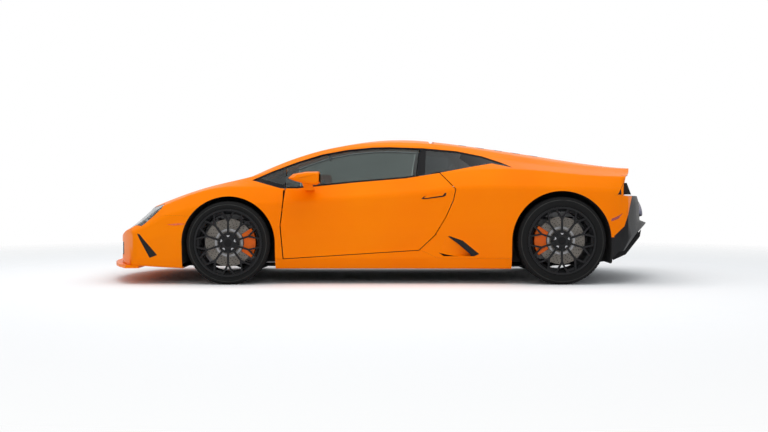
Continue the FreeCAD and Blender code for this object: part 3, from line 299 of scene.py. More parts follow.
def edged(piece, width, segments, angle):
    """Rounds over the edges that are sharper than an angle in degrees."""
    edge = piece.modifiers.new("edge", "BEVEL")
    edge.width, edge.segments, edge.limit_method = width, segments, "ANGLE"
    edge.angle_limit = math.radians(angle)
    return edge


SHARP = 30


def softened(name, source, material, slot, body="body", width=0.0015, segments=2):
    """A copy of a CAD piece with its edges rounded over, which stands in for it."""
    piece = solid(name, merged(source), material, slot, body, smooth=SHARP)
    edged(piece, width, segments, SHARP).harden_normals = True
    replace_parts(piece, source)


def outward(bm):
    bmesh.ops.recalc_face_normals(bm, faces=bm.faces[:])
    return bm


def chain(bm, points, closed=False):
    """New vertices at some points, and the edges that join them in a row."""
    line = [bm.verts.new(point) for point in points]
    return line, [bm.edges.new(pair) for pair in zip(line, line[1:] + line[:closed])]


def faced(bm, outline, across):
    """A flat face from (along, up) pairs, at one place across the car."""
    return bm.faces.new([bm.verts.new((x, across, z)) for x, z in outline])


def walled(bm, thickness):
    bmesh.ops.solidify(bm, geom=bm.faces[:], thickness=thickness)
    return bm


def moved(bm, spot, angle=0.0, axis="Y"):
    """Turns a whole mesh about one axis through the origin and moves it to its place."""
    bmesh.ops.rotate(bm, verts=bm.verts[:], cent=(0, 0, 0), matrix=Matrix.Rotation(angle, 3, axis))
    bmesh.ops.translate(bm, verts=bm.verts[:], vec=spot)


def spun(profile, steps, closed=False):
    """A round piece about the upright axis from (radius, up) pairs."""
    bm = bmesh.new()
    line, edges = chain(bm, [(radius, 0, up) for radius, up in profile], closed)
    bmesh.ops.spin(bm, geom=line + edges, cent=(0, 0, 0), axis=(0, 0, 1), angle=math.tau, steps=steps,
                   use_merge=True)
    bmesh.ops.remove_doubles(bm, verts=bm.verts[:], dist=1e-6)
    return bm


def turned(profile, centre, side, segments=96):
    """A ring or disc about a wheel's axle from (radius, outward) pairs."""
    bm = spun(profile, segments, closed=True)
    moved(bm, centre, -side * math.pi / 2, "X")
    return outward(bm)


def studs(bm, centre, side, count, ring, radius, out, height, sides=6, phase=0.0):
    """Bolt heads, bobbins, or flat discs that stand for drilled holes as painted shade, in a ring about an
    axle.
    """
    for i in range(count):
        angle = phase + math.tau * i / count
        spot = centre + Vector((ring * math.cos(angle), side * out, ring * math.sin(angle)))
        turn = Matrix.Rotation(math.pi / 2 * side, 4, "X")
        bmesh.ops.create_cone(bm, cap_ends=True, segments=sides, radius1=radius * 0.88, radius2=radius,
                              depth=height, matrix=Matrix.Translation(spot) @ turn)
    return bm


rim_black = finish("satin_black_rim", (0.012, 0.012, 0.013), (0.016, 0.016, 0.017), drift=8, grain=900,
                   rough=0.3, swing=0.08, relief=0.06, gleam=0.15)
CAP = [(0.0, 0.012), (0.018, 0.0125), (0.026, 0.0145), (0.030, 0.0175), (0.030, 0.020), (0.0, 0.020)]
BOLT_RING, BOLT_TURN = 0.057, 0.31
wheels = []
for corner in ("fl", "fr", "rl", "rr"):
    low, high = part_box("tyre_" + corner)
    wheels.append((corner, "wheel_" + corner, -1 if corner[1] == "l" else 1, (low + high) / 2,
                   (high.z - low.z) / 2, (high.y - low.y) / 2))
for corner, body, side, centre, radius, half in wheels:
    softened("rim_forging_" + corner, "rim_" + corner, rim_black, "rim", body, width=0.0028)
    cap = turned([(r, half - sunk) for r, sunk in CAP], centre, side, 48)
    solid("hub_cap_" + corner, cap, gloss_black, "rim", body)
    bolts = studs(bmesh.new(), centre, side, 5, BOLT_RING, 0.0105, half - 0.0245, 0.016, phase=BOLT_TURN)
    studs(bolts, centre, side, 5, BOLT_RING, 0.0135, half - 0.0285, 0.010, sides=20, phase=BOLT_TURN)
    solid("wheel_bolts_" + corner, bolts, steel, "steel", body)

# -------- tyres
# Low wide tyres of black rubber on twenty-inch rims. The sidewall has a rim guard and fine
# moulded rings; the tread has a centre rib, two grooves a side and blocks cut across.
RING_IN = [("Centre", "Vector", (0, 0, 0)), ("Line", "Float", 0.3), ("Pitch", "Float", 900.0)]
ring_group, into, end = group("moulded_rings", GRAIN_IN + RING_IN)
place = here(ring_group)
arm = worked(ring_group, "SUBTRACT", place, into["Centre"], kind="VectorMath")
arm = worked(ring_group, "MULTIPLY", arm, (1, 0, 1), kind="VectorMath")
reach = worked(ring_group, "LENGTH", arm, kind="VectorMath")
near = worked(ring_group, "ABSOLUTE", worked(ring_group, "SUBTRACT", reach, into["Line"]))
line = joined(ring_group, "MapRange", {"Value": near, "From Min": 0.0035, "From Max": 0.0015}).outputs[0]
mask = worked(ring_group, "MULTIPLY", line, noise(ring_group, place, into["Drift"], 5.0))
wave = worked(ring_group, "SINE", worked(ring_group, "MULTIPLY", reach, into["Pitch"]))
fine = noise(ring_group, place, into["Grain"], 2.0)
closed_group(ring_group, into, end, mask, fine, worked(ring_group, "MULTIPLY_ADD", fine, 0.6, wave), 0.0006)


def ring_finish(name, centre, line, pitch, color, shade, **looks):
    """A finish with rings about a wheel's axle; the left and right wheels of an axle share one."""
    rings = {"Centre": (centre.x, 0, centre.z), "Line": line, "Pitch": pitch}
    return bpy.data.materials.get(name) or finish(name, color, shade, pattern=ring_group, more=rings, **looks)


TREAD_DEPTH, TREAD_ROWS, TREAD_PITCHES, SHOULDER, BEAD = 0.006, 5, 72, 0.026, 0.284
for corner, body, side, centre, radius, half in wheels:
    crown = radius - TREAD_DEPTH
    wall = [(0.2585, half - 0.032), (0.2585, half - 0.0185), (0.266, half - 0.0165), (0.271, half - 0.0115),
            (0.2725, half - 0.0035), (0.276, half - 0.0022), (0.279, half - 0.004), (BEAD, half - 0.002),
            (0.291, half - 0.0008), (radius - 0.034, half - 0.0012), (radius - 0.022, half - 0.0035),
            (radius - 0.0135, half - 0.0085), (radius - 0.0075, half - 0.0155), (crown, half - SHOULDER)]
    row = 2 * (half - SHOULDER) / TREAD_ROWS
    tread = [(crown, half - SHOULDER - row * i) for i in range(1, TREAD_ROWS)]
    inner = [(radius - 0.018, -half + 0.022), (radius - 0.018, half - 0.022), (BEAD, half - 0.016)]
    profile = wall + tread + [(r, -y) for r, y in reversed(wall)] + [(BEAD, -half + 0.016)] + inner
    bm = turned(profile, centre, side, TREAD_PITCHES)
    rows = {}
    for face in bm.faces:
        spot = face.calc_center_median() - centre
        if math.hypot(spot.x, spot.z) > radius - 0.0072 and abs(spot.y) < half - SHOULDER:
            rows.setdefault(int((spot.y + half - SHOULDER) / row), []).append(face)
    for index, faces in rows.items():
        if index == TREAD_ROWS // 2:
            bmesh.ops.inset_region(bm, faces=faces, thickness=0.004, depth=TREAD_DEPTH)
        else:
            bmesh.ops.inset_individual(bm, faces=faces, thickness=0.003, depth=TREAD_DEPTH)
    tyre_rubber = ring_finish("tyre_rubber_" + corner[0], centre, radius - 0.026, 2400, (0.014, 0.014, 0.014),
                              (0.075, 0.075, 0.07), drift=20, grain=700, rough=0.66, swing=0.2, relief=0.4,
                              gleam=0.06)
    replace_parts(solid("tyre_carcass_" + corner, bm, tyre_rubber, "tyre", body, smooth=32), "tyre_" + corner)

# -------- brakes and uprights
# Ventilated iron rotors, cross-drilled and ground, float on alloy bells by ten bobbins. The
# six-piston calipers are lacquered orange and bolted to the cast knuckles and uprights.
DRILLINGS = (0.126, 0.142, 0.158, 0.174)
for corner, body, side, centre, radius, half in wheels:
    ground = ring_finish("ground_iron_" + corner[0], centre, 0.113, 5200, (0.235, 0.215, 0.19),
                         (0.08, 0.075, 0.07), drift=9, grain=90, rough=0.3, swing=0.25, relief=0.35,
                         Metallic=0.7)
    dress(ground, "disc_" + corner)
    low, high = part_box("disc_" + corner)
    face = max(side * (low.y - centre.y), side * (high.y - centre.y)) - 0.0037
    # Painted shade: flat black discs just proud of the rotor face stand for the drilled holes, which look
    # dark only from the shade inside them.
    drilling_shade_discs = bmesh.new()
    for turn, ring in enumerate(DRILLINGS):
        studs(drilling_shade_discs, centre, side, 30, ring, 0.0036, face + 0.0001, 0.0007, sides=10, phase=turn * 0.07)
    solid("painted_drilling_shade_" + corner, drilling_shade_discs, rubber, "black_plastic", body)
    bell = [(0.093, face + 0.002), (0.093, face + 0.0034), (0.111, face + 0.0034), (0.111, face - 0.0005),
            (0.093, face - 0.0005)]
    solid("disc_bell_" + corner, turned(bell, centre, side, 72), alloy, "alloy", body)
    bobbins = studs(bmesh.new(), centre, side, 10, 0.102, 0.0075, face + 0.006, 0.007, sides=16)
    studs(bobbins, centre, side, 10, 0.075, 0.006, face + 0.0055, 0.005, sides=6, phase=0.3)
    solid("disc_bobbins_" + corner, bobbins, alloy, "alloy", body)

caliper_paint = finish("orange_caliper", (0.95, 0.16, 0.004), (0.85, 0.12, 0.004), drift=12, grain=500,
                       rough=0.28, relief=0.2, Coat_Weight=0.2, Coat_Roughness=0.06, gleam=0.1)
for source, body in (("caliper_fl", "knuckle_fl"), ("caliper_fr", "knuckle_fr"), ("rear_calipers", "body")):
    softened(source + "_casting", source, caliper_paint, "caliper", body, width=0.005, segments=3)
for source, body in (("knuckle_fl", "knuckle_fl"), ("knuckle_fr", "knuckle_fr"), ("uprights", "body"),
                     ("wishbones", "body")):
    softened(source + "_casting", source, alloy, "alloy", body, width=0.002)

# -------- nose and tail panels
# The outer panels at both ends, pressed and moulded so that the nose falls to a low edge and the
# rear corners are swept forward. They are bonded and screwed together along their seams.
TAIL_START, TAIL_TIP, SQUARE_CORNER, SWEPT_CORNER, CORNER_Y = 1.80, 2.262, 2.150, 1.930, 0.905
NOSE_TIP, NOSE_BOW, NOSE_RUN, NOSE_DROP, CORNER_LIFT = -2.206, 0.231, 0.25, 0.165, 0.075
DROP_FROM, DROP_FULL, NOSE_CUTS = 0.30, 0.56, -1.75


def swept(spot):
    """Gives a point of a square-ended panel its place on the lower nose or the swept tail."""
    bow = min(1.0, abs(spot.y) / CORNER_Y) ** 2
    if spot.x > TAIL_START:
        square = TAIL_TIP - (TAIL_TIP - SQUARE_CORNER) * bow
        drawn = TAIL_TIP - (TAIL_TIP - SWEPT_CORNER) * bow ** 0.75
        spot.x = TAIL_START + (spot.x - TAIL_START) * (drawn - TAIL_START) / (square - TAIL_START)
    behind = max(0.0, spot.x - NOSE_TIP - NOSE_BOW * bow) / NOSE_RUN
    if behind < 1.0 and spot.z > DROP_FROM:
        full = (NOSE_DROP - CORNER_LIFT * bow) * (1 - behind) ** 1.2
        spot.z -= full * min(1.25, (spot.z - DROP_FROM) / (DROP_FULL - DROP_FROM))


def swept_all(bm):
    for vert in bm.verts:
        swept(vert.co)
    return bm


def cut(bm, spot, normal, outer=False):
    """Cuts a whole mesh by a plane, and may clear what lies beyond it."""
    bmesh.ops.bisect_plane(bm, geom=bm.verts[:] + bm.edges[:] + bm.faces[:], plane_co=spot, plane_no=normal,
                           dist=1e-6, clear_outer=outer)


def sliced(bm, axis, places, side=1, outer=False):
    """Cuts a mesh by planes across one axis, so that it bends smoothly."""
    for place in places:
        spot, normal = Vector(), Vector()
        spot[axis], normal[axis] = place, side
        cut(bm, spot, normal, outer)


def shaped(source):
    """A CAD panel's mesh with the nose and tail given their final shape."""
    bm = merged(source)
    spots = [v.co.x for v in bm.verts]
    if max(spots) > TAIL_START:
        sliced(bm, 1, [0.1 * step for step in range(-9, 10)])
        sliced(bm, 0, [TAIL_START, TAIL_START + 0.06, TAIL_START + 0.14])
    if min(spots) < NOSE_CUTS:
        sliced(bm, 0, [NOSE_CUTS - 0.42 + 0.05 * step for step in range(10)])
        sliced(bm, 2, [DROP_FROM, 0.36, 0.42, 0.48])
    return swept_all(bm)


PANELS = [("quarter_panels", "body", "paint", paint),
          ("rear_grille", "body", "black_plastic", black), ("tail_lamps", "body", "tail_lamp", lens_red),
          ("front_bumper", "body", "paint", paint), ("front_wings", "body", "paint", paint),
          ("bonnet", "bonnet", "paint", paint), ("rear_frame", "body", "alloy", alloy)]
for source, body, slot, material in PANELS:
    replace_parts(solid(source + "_panel", shaped(source), material, slot, body, smooth=30), source)
SEAM = [(1.811, 0.378), (1.898, 0.457), (1.976, 0.685)]
for source, name, slot in (("rear_diffuser", "diffuser_moulding", "black_plastic"),
                           ("rear_bumper", "rear_corners", "paint")):
    bm = shaped(source)
    rises = []
    for (x0, z0), (x1, z1) in zip(SEAM, SEAM[1:]):
        rises.append((Vector((x0, 0, z0)), Vector((z0 - z1, 0, x1 - x0)).normalized()))
        cut(bm, *rises[-1])
    for face in bm.faces:
        middle = face.calc_center_median()
        start, normal = rises[0 if middle.z < SEAM[1][1] else 1]
        if (middle - start).dot(normal) > 0 and middle.z > SEAM[0][1]:
            face.material_index = 1
    piece = solid(name, bm, black, slot, smooth=30)
    piece.data.materials.append(paint)
    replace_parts(piece, source)

# -------- window seals and pillar covers
# Extruded black rubber lips clipped round the side glass and along the door's waist, and bonded
# gloss-black covers on the pillar behind the door and at both ends of the glass.
def surface_of(*names):
    """What a patch is laid on: the outer faces of some CAD pieces."""
    bm = bmesh.new()
    for name in names:
        bm.from_mesh(nodes[name].data)
    tree = BVHTree.FromBMesh(swept_all(bm))
    bm.free()
    return tree


REACH, OUTBOARD, OVERHEAD = 1.0, -1.3, 1.35


def laid(bm, tree, toward, lift, wall):
    """Drops a flat outline onto a surface along one direction and gives it a wall."""
    toward = Vector(toward)
    axis = 1 if toward.y else 2
    landed, missed = [], []
    for vert in bm.verts:
        hit = tree.ray_cast(vert.co, toward, REACH)[0]
        if hit is None:
            missed.append(vert)
        else:
            vert.co = hit - toward * lift
            landed.append(vert.co.copy())
    for vert in missed:
        vert.co[axis] = min(landed, key=lambda spot: (spot - vert.co).cross(toward).length)[axis]
    outward(bm)
    centre = sum((f.normal for f in bm.faces), Vector())
    if centre.dot(toward) > 0:
        bmesh.ops.reverse_faces(bm, faces=bm.faces[:])
    walled(bm, wall)


def gridded(bm, pitch, first, second):
    """Cuts a flat outline by planes across two axes, so that it can follow a curved panel."""
    for axis in (first, second):
        spots = [v.co[axis] for v in bm.verts]
        low, run = min(spots), max(spots) - min(spots)
        count = int(run / pitch)
        sliced(bm, axis, [low + i * run / (count + 1) for i in range(1, count + 1)])


def mirror_y(bm):
    """The right-hand copy of a left-hand piece."""
    bmesh.ops.scale(bm, vec=(1, -1, 1), verts=bm.verts[:])
    bmesh.ops.reverse_faces(bm, faces=bm.faces[:])


SIDES = (("left", -1), ("right", 1))


def verts_in(made):
    """The vertices in what an operator made."""
    return [g for g in made["geom"] if isinstance(g, bmesh.types.BMVert)]


def on_side(bm, side_name, side, name, *looks):
    """Ends a piece drawn for the left, which is mirrored if it is for the right."""
    if side > 0:
        mirror_y(bm)
    solid(name.format(side_name), bm, *looks)


def side_patch(name, outline, targets, material, slot="black_plastic", body="body", lift=0.0012, wall=0.0024,
               pitch=0.03):
    """A thin cover on each flank, from an outline of (along, up) points; {} in a name is the side."""
    for side_name, side in SIDES:
        bm = bmesh.new()
        faced(bm, outline, OUTBOARD)
        gridded(bm, pitch, 0, 2)
        tree = surface_of(*[t.format("left") for t in targets])
        laid(bm, tree, (0, 1, 0), lift, wall)
        on_side(bm, side_name, side, name, material, slot, body.format(side_name))


LIP_LIFT, LIP_WALL, LIP_STEP = 0.0022, 0.003, 0.03


def lip(name, path, width, targets, material, body="body"):
    """A narrow strip beside a path of (along, up) points on the flank, its width to the path's left."""
    points = [Vector((x, 0, z)) for x, z in path]
    fine = []
    for a, b in zip(points, points[1:]):
        count = max(1, int((b - a).length / LIP_STEP))
        fine += [a.lerp(b, i / count) for i in range(count)]
    fine.append(points[-1])
    for side_name, side in SIDES:
        bm = bmesh.new()
        edges = chain(bm, [(p.x, OUTBOARD, p.z) for p in fine])[1]
        for vert in verts_in(bmesh.ops.extrude_edge_only(bm, edges=edges)):
            index = min(range(len(fine)), key=lambda i: (vert.co.xz - fine[i].xz).length)
            run = (fine[min(index + 1, len(fine) - 1)] - fine[max(index - 1, 0)]).normalized()
            vert.co += Vector((-run.z, 0, run.x)) * width
        tree = surface_of(*[t.format("left") for t in targets])
        laid(bm, tree, (0, 1, 0), LIP_LIFT, LIP_WALL)
        on_side(bm, side_name, side, name, material, "black_plastic", body.format(side_name))


PANES = ["door_glass_{}", "quarter_windows"]
GLASS_TOP = [(1.030, 0.924), (0.955, 0.960), (0.804, 1.015), (0.600, 1.058), (0.326, 1.082), (0.052, 1.091),
             (-0.084, 1.088), (-0.290, 1.068), (-0.492, 1.030), (-0.687, 0.968), (-0.888, 0.890),
             (-1.040, 0.823)]
lip("glass_run_{}", GLASS_TOP, 0.013, PANES, rubber)
WAIST = [(-0.760, 0.759), (-0.679, 0.759), (-0.215, 0.806), (0.183, 0.839), (0.256, 0.852)]
lip("waist_seal_{}", WAIST, 0.010, ["door_glass_{}"], rubber, "door_{}")
PILLAR = [(0.272, 0.862), (0.335, 0.868), (0.352, 1.072), (0.300, 1.079), (0.285, 0.980)]
side_patch("pillar_cover_{}", PILLAR, ["quarter_windows"], gloss_black)
FRONT_FRIT = [(-1.020, 0.824), (-0.814, 0.762), (-0.775, 0.764), (-0.775, 0.790), (-0.800, 0.786),
              (-0.985, 0.838)]
side_patch("front_glass_border_{}", FRONT_FRIT, ["quarter_windows", "door_glass_{}"], gloss_black)
REAR_BLIND = [(0.700, 0.935), (0.868, 0.961), (1.022, 0.927), (0.948, 0.962), (0.800, 1.013), (0.640, 1.047),
              (0.620, 1.000)]
side_patch("rear_vane_{}", REAR_BLIND, ["quarter_windows"], gloss_black, pitch=0.04)

# -------- lamps and markers on the flanks
# Slim moulded marker lamps let into the bumper corners, amber-red in front and deep red behind.
# Each lens is welded to its own small housing, which clips into the bumper.
marker_amber = finish("amber_marker_lens", (0.9, 0.12, 0.004), (0.5, 0.04, 0.004), drift=40, grain=300,
                      rough=0.15, relief=0.2, Coat_Weight=1.0)
marker_red = finish("red_marker_lens", (0.42, 0.004, 0.003), (0.2, 0.002, 0.002), drift=40, grain=300,
                    rough=0.12, relief=0.2, Coat_Weight=1.0)
FRONT_MARKER = [(-1.694, 0.473), (-1.600, 0.482), (-1.548, 0.480), (-1.566, 0.473), (-1.640, 0.466)]
REAR_MARKER = [(1.790, 0.498), (1.850, 0.520), (1.884, 0.562), (1.848, 0.540), (1.792, 0.518)]
side_patch("front_marker_{}", FRONT_MARKER, ["front_wings", "front_bumper"], marker_amber, "tail_lamp",
           wall=0.004, lift=0.002)
side_patch("rear_marker_{}", REAR_MARKER, ["rear_bumper", "quarter_panels"], marker_red, "tail_lamp",
           wall=0.004, lift=0.002)

# -------- black inserts at the four corners
# Satin-black mouldings clipped into the panels: a slanted vent in each front bumper corner and a
# notch under the tail's upper edge.
CORNER_VENT = [(-1.930, 0.402), (-1.908, 0.396), (-1.774, 0.232), (-1.834, 0.210)]
side_patch("corner_vent_{}", CORNER_VENT, ["front_bumper"], black, wall=0.004)
NOTCH = [(1.843, 0.708), (1.900, 0.798), (1.925, 0.800), (1.962, 0.708)]
side_patch("tail_notch_{}", NOTCH, ["quarter_panels", "rear_bumper"], black, wall=0.004)

# -------- headlamps
# A clear polycarbonate cover over a black bowl, with a forked white light guide and two
# projector lenses. The cover is bonded to the bowl and the bowl is bolted to the wing.
FACING = 0.2


def outer_faces(bm, keep):
    """Leaves the faces that look out of the car, or all the others."""
    gone = []
    for face in bm.faces:
        out = math.copysign(0.6, face.calc_center_median().y)
        if (face.normal.dot(Vector((-0.5, out, 1))) < FACING) == keep:
            gone.append(face)
    bmesh.ops.delete(bm, geom=gone, context="FACES")


def top_patch(name, outline, targets, material, slot="black_plastic", body="body", lift=0.0012, wall=0.0024,
              pitch=0.03, both=True):
    """A thin cover laid on an upper surface, from an outline of (along, across) points."""
    for side_name, side in SIDES if both else SIDES[:1]:
        bm = bmesh.new()
        bm.faces.new([bm.verts.new((x, y, OVERHEAD)) for x, y in outline])
        gridded(bm, pitch, 0, 1)
        laid(bm, surface_of(*targets), (0, 0, -1), lift, wall)
        on_side(bm, side_name, side, name, material, slot, body)


for name, keep, wall, material, slot in (("lamp_covers", True, 0.003, lens_clear, "lamp"),
                                         ("lamp_bowls", False, 0.002, gloss_black, "black_plastic")):
    bm = shaped("headlamps")
    outer_faces(bm, keep)
    walled(bm, wall)
    piece = solid(name, bm, material, slot)
    if keep:
        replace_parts(piece, "headlamps")
light_guide = finish("white_light_guide", (0.85, 0.87, 0.9), drift=30, grain=300, rough=0.25, Coat_Weight=0.6)
GUIDES = [
    [(-2.050, -0.575), (-2.038, -0.575), (-1.885, -0.775), (-1.900, -0.782)],
    [(-1.895, -0.772), (-1.885, -0.768), (-1.765, -0.800), (-1.765, -0.812), (-1.885, -0.786)],
    [(-1.900, -0.785), (-1.888, -0.783), (-1.850, -0.872), (-1.864, -0.872)],
]
for i, outline in enumerate(GUIDES):
    top_patch("light_guide_{}_" + str(i), outline, ["headlamps"], light_guide, "lamp", lift=-0.020,
              wall=0.006, pitch=0.04)
lamp_top = surface_of("headlamps")
BULB = [(0.0, 0.030), (0.012, 0.029), (0.022, 0.024), (0.027, 0.014), (0.027, 0.0), (0.0, 0.0)]
BULBS, BULB_DOWN, BULB_TILT = ((-1.960, -0.660), (-1.840, -0.740)), 0.045, -55
for i, (x, y) in enumerate(BULBS):
    height = lamp_top.ray_cast(Vector((x, y, OVERHEAD)), Vector((0, 0, -1)))[0].z
    for side_name, side in SIDES:
        bm = spun(BULB, 40)
        moved(bm, (x, side * -y, height - BULB_DOWN), math.radians(BULB_TILT))
        solid("projector_{}_{}".format(side_name, i), bm, lens_clear, "lamp")

# -------- intakes at the nose and flanks
# Black honeycomb moulded in nylon behind each mouth, and a painted ramp in front of each side
# intake that leads air past a black blade.
def honeycomb(cells_wide, cells_high, cell, web):
    """A flat sheet of open hexagons in the plane across and up, centred on the origin."""
    bm = bmesh.new()
    bmesh.ops.create_circle(bm, cap_ends=True, segments=6, radius=cell / math.sqrt(3))
    moved(bm, (0, 0, 0), math.pi / 2)
    bmesh.ops.inset_individual(bm, faces=bm.faces[:], thickness=web)
    bmesh.ops.delete(bm, geom=[f for f in bm.faces if len(f.verts) == 6], context="FACES")
    first = bm.verts[:] + bm.edges[:] + bm.faces[:]
    for row in range(cells_high):
        for column in range(cells_wide):
            y = (column - cells_wide / 2 + 0.5 * (row % 2)) * cell
            z = (row - (cells_high - 1) / 2) * cell * math.sqrt(3) / 2
            bmesh.ops.translate(bm, verts=verts_in(bmesh.ops.duplicate(bm, geom=first)), vec=(0, y, z))
    bmesh.ops.delete(bm, geom=verts_in({"geom": first}), context="VERTS")
    bmesh.ops.remove_doubles(bm, verts=bm.verts[:], dist=cell * 0.02)
    return bm


def trimmed_to(bm, low, high):
    """Cuts a mesh to a box between two (across, up) corners."""
    for axis in (1, 2):
        sliced(bm, axis, [low[axis - 1]], -1, True)
        sliced(bm, axis, [high[axis - 1]], 1, True)


MOUTH_LOW, MOUTH_MIDDLE, MOUTH_HIGH = (0.252, 0.217), (0, 0.435, 0.280), (0.618, 0.343)
LIP_UP, LEAN, MESH_BACK = 0.383, 0.239, 0.006
for side_name, side in SIDES:
    bm = honeycomb(21, 9, 0.019, 0.0016)
    moved(bm, MOUTH_MIDDLE)
    trimmed_to(bm, MOUTH_LOW, MOUTH_HIGH)
    for vert in bm.verts:
        bow = NOSE_TIP + NOSE_BOW * (vert.co.y / CORNER_Y) ** 2
        slant = NOSE_TIP + (LIP_UP - vert.co.z) * LEAN
        vert.co.x = max(bow, slant) + MESH_BACK
        vert.co.y *= side
    solid("mouth_mesh_" + side_name, walled(swept_all(bm), 0.004), black, smooth=0)

RAMP_ROWS = [
    ((0.4405, 0.2505), (0.5105, 0.3870), 0.0),
    ((0.500, 0.236), (0.552, 0.370), 0.005),
    ((0.560, 0.226), (0.600, 0.350), 0.016),
    ((0.620, 0.223), (0.660, 0.318), 0.032),
    ((0.690, 0.223), (0.715, 0.272), 0.048),
]
FLANK_Y = -0.95
flank = surface_of("quarter_panels", "side_sills")
for side_name, side in SIDES:
    bm = bmesh.new()
    rows = []
    for (x0, z0), (x1, z1), depth in RAMP_ROWS:
        points = []
        for step in range(9):
            share = step / 8
            x, z = x0 + (x1 - x0) * share, z0 + (z1 - z0) * share
            skin = flank.find_nearest(Vector((x, FLANK_Y, z)))[0].y
            edge = min(1.0, 2.2 * math.sin(math.pi * min(share, 0.55)) ** 0.8)
            points.append((x, skin + 0.0015 + depth * (0.25 + 0.75 * edge), z))
        rows.append(chain(bm, points)[1])
    for a, b in zip(rows, rows[1:]):
        bmesh.ops.bridge_loops(bm, edges=a + b)
    outward(bm)
    walled(bm, 0.002)
    on_side(bm, side_name, side, "intake_ramp_{}", paint, "paint")
BLADE = [(0.500, 0.386), (0.516, 0.3885), (0.629, 0.3475), (0.757, 0.2405), (0.738, 0.2225), (0.705, 0.2225),
         (0.590, 0.322)]
side_patch("intake_blade_{}", BLADE, ["quarter_panels", "side_sills"], black, lift=-0.003, wall=0.012,
           pitch=0.02)

# -------- door handles
# A painted pull bar on each door, over a flat black patch laid on the door skin as painted shade where the
# finger recess would be. Both are mouldings, screwed to the door from inside.
HANDLE_SHADE_PATCH = [(0.302, 0.672), (0.318, 0.690), (0.345, 0.700), (0.470, 0.716), (0.500, 0.722),
                 (0.494, 0.700), (0.476, 0.690), (0.400, 0.680), (0.340, 0.672)]
HANDLE_BAR = [(0.322, 0.682), (0.345, 0.704), (0.468, 0.722), (0.484, 0.718), (0.470, 0.700), (0.400, 0.690),
              (0.345, 0.681)]
# Painted shade: a flat black patch on the door stands for the dark finger recess behind the pull bar.
side_patch("handle_recess_{}", HANDLE_SHADE_PATCH, ["door_{}"], black, body="door_{}", lift=0.0008, wall=0.003)
side_patch("handle_bar_{}", HANDLE_BAR, ["door_{}"], paint, "paint", "door_{}", lift=0.009, wall=0.008,
           pitch=0.02)

# -------- door mirrors
# A painted wedge-shaped shell on a slim arm from the door's front corner, with a black-rimmed
# glass at its back. The shell is moulded in two halves and the glass clips in.
MIRROR_SIDE = [(-0.742, 0.836), (-0.700, 0.868), (-0.600, 0.886), (-0.500, 0.888), (-0.490, 0.868),
               (-0.492, 0.800), (-0.520, 0.782), (-0.600, 0.790), (-0.690, 0.815)]
MIRROR_IN, MIRROR_BACK, MIRROR_UP = 0.925, -0.490, 0.838
PANE_X, PANE = -0.4885, [(0.945, 0.800), (1.080, 0.806), (1.086, 0.868), (0.945, 0.872)]
MIRROR_ROWS = ((0.975, 1.0, 0.0), (1.050, 0.94, 0.004), (1.092, 0.80, 0.016), (1.106, 0.58, 0.030))
for side_name, side in SIDES:
    bm = bmesh.new()
    face = faced(bm, MIRROR_SIDE, MIRROR_IN)
    for y, scale, back in MIRROR_ROWS:
        grown = bmesh.ops.extrude_face_region(bm, geom=[face])["geom"]
        face = next(g for g in grown if isinstance(g, bmesh.types.BMFace))
        for vert, (x, z) in zip(face.verts, MIRROR_SIDE):
            vert.co = (MIRROR_BACK + (x - MIRROR_BACK) * scale - back * 0.2, y,
                       MIRROR_UP + (z - MIRROR_UP) * scale)
    outward(bm)
    arm = bmesh.ops.create_cube(bm, size=1.0)["verts"]
    arm_edges = list({e for v in arm for e in v.link_edges})
    bmesh.ops.subdivide_edges(bm, edges=arm_edges, cuts=1, use_grid_fill=True)
    arm = [v for v in bm.verts if max(abs(v.co.x), abs(v.co.y), abs(v.co.z)) < 0.51]
    for vert in arm:
        low = 0.5 - vert.co.z
        vert.co = (-0.610 + 0.075 * vert.co.x + 0.035 * low, 0.915 + 0.060 * vert.co.y - 0.045 * low,
                   0.800 - 0.060 * low + 0.030 * (1 - low))
    if side < 0:
        mirror_y(bm)
    shell = solid("mirror_shell_" + side_name, bm, paint, "paint", "door_" + side_name, smooth=50)
    edged(shell, 0.007, 3, 35)
    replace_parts(shell, "mirror_" + side_name)
    bm = bmesh.new()
    bm.faces.new([bm.verts.new((PANE_X, side * y, z)) for y, z in PANE])
    walled(bm, 0.003)
    solid("mirror_glass_" + side_name, bm, steel, "glass", "door_" + side_name, smooth=0)

# -------- seats
# Two fixed-back bucket seats: foam pads covered in black leather over a composite shell, with
# stitched channels across the middle, side bolsters and a head pad. Each pad is pulled over its
# foam and clipped to the shell; belts run from the pillar to a buckle beside the tunnel.
CHANNEL_RUN, CHANNEL_DEPTH = 0.022, 0.008


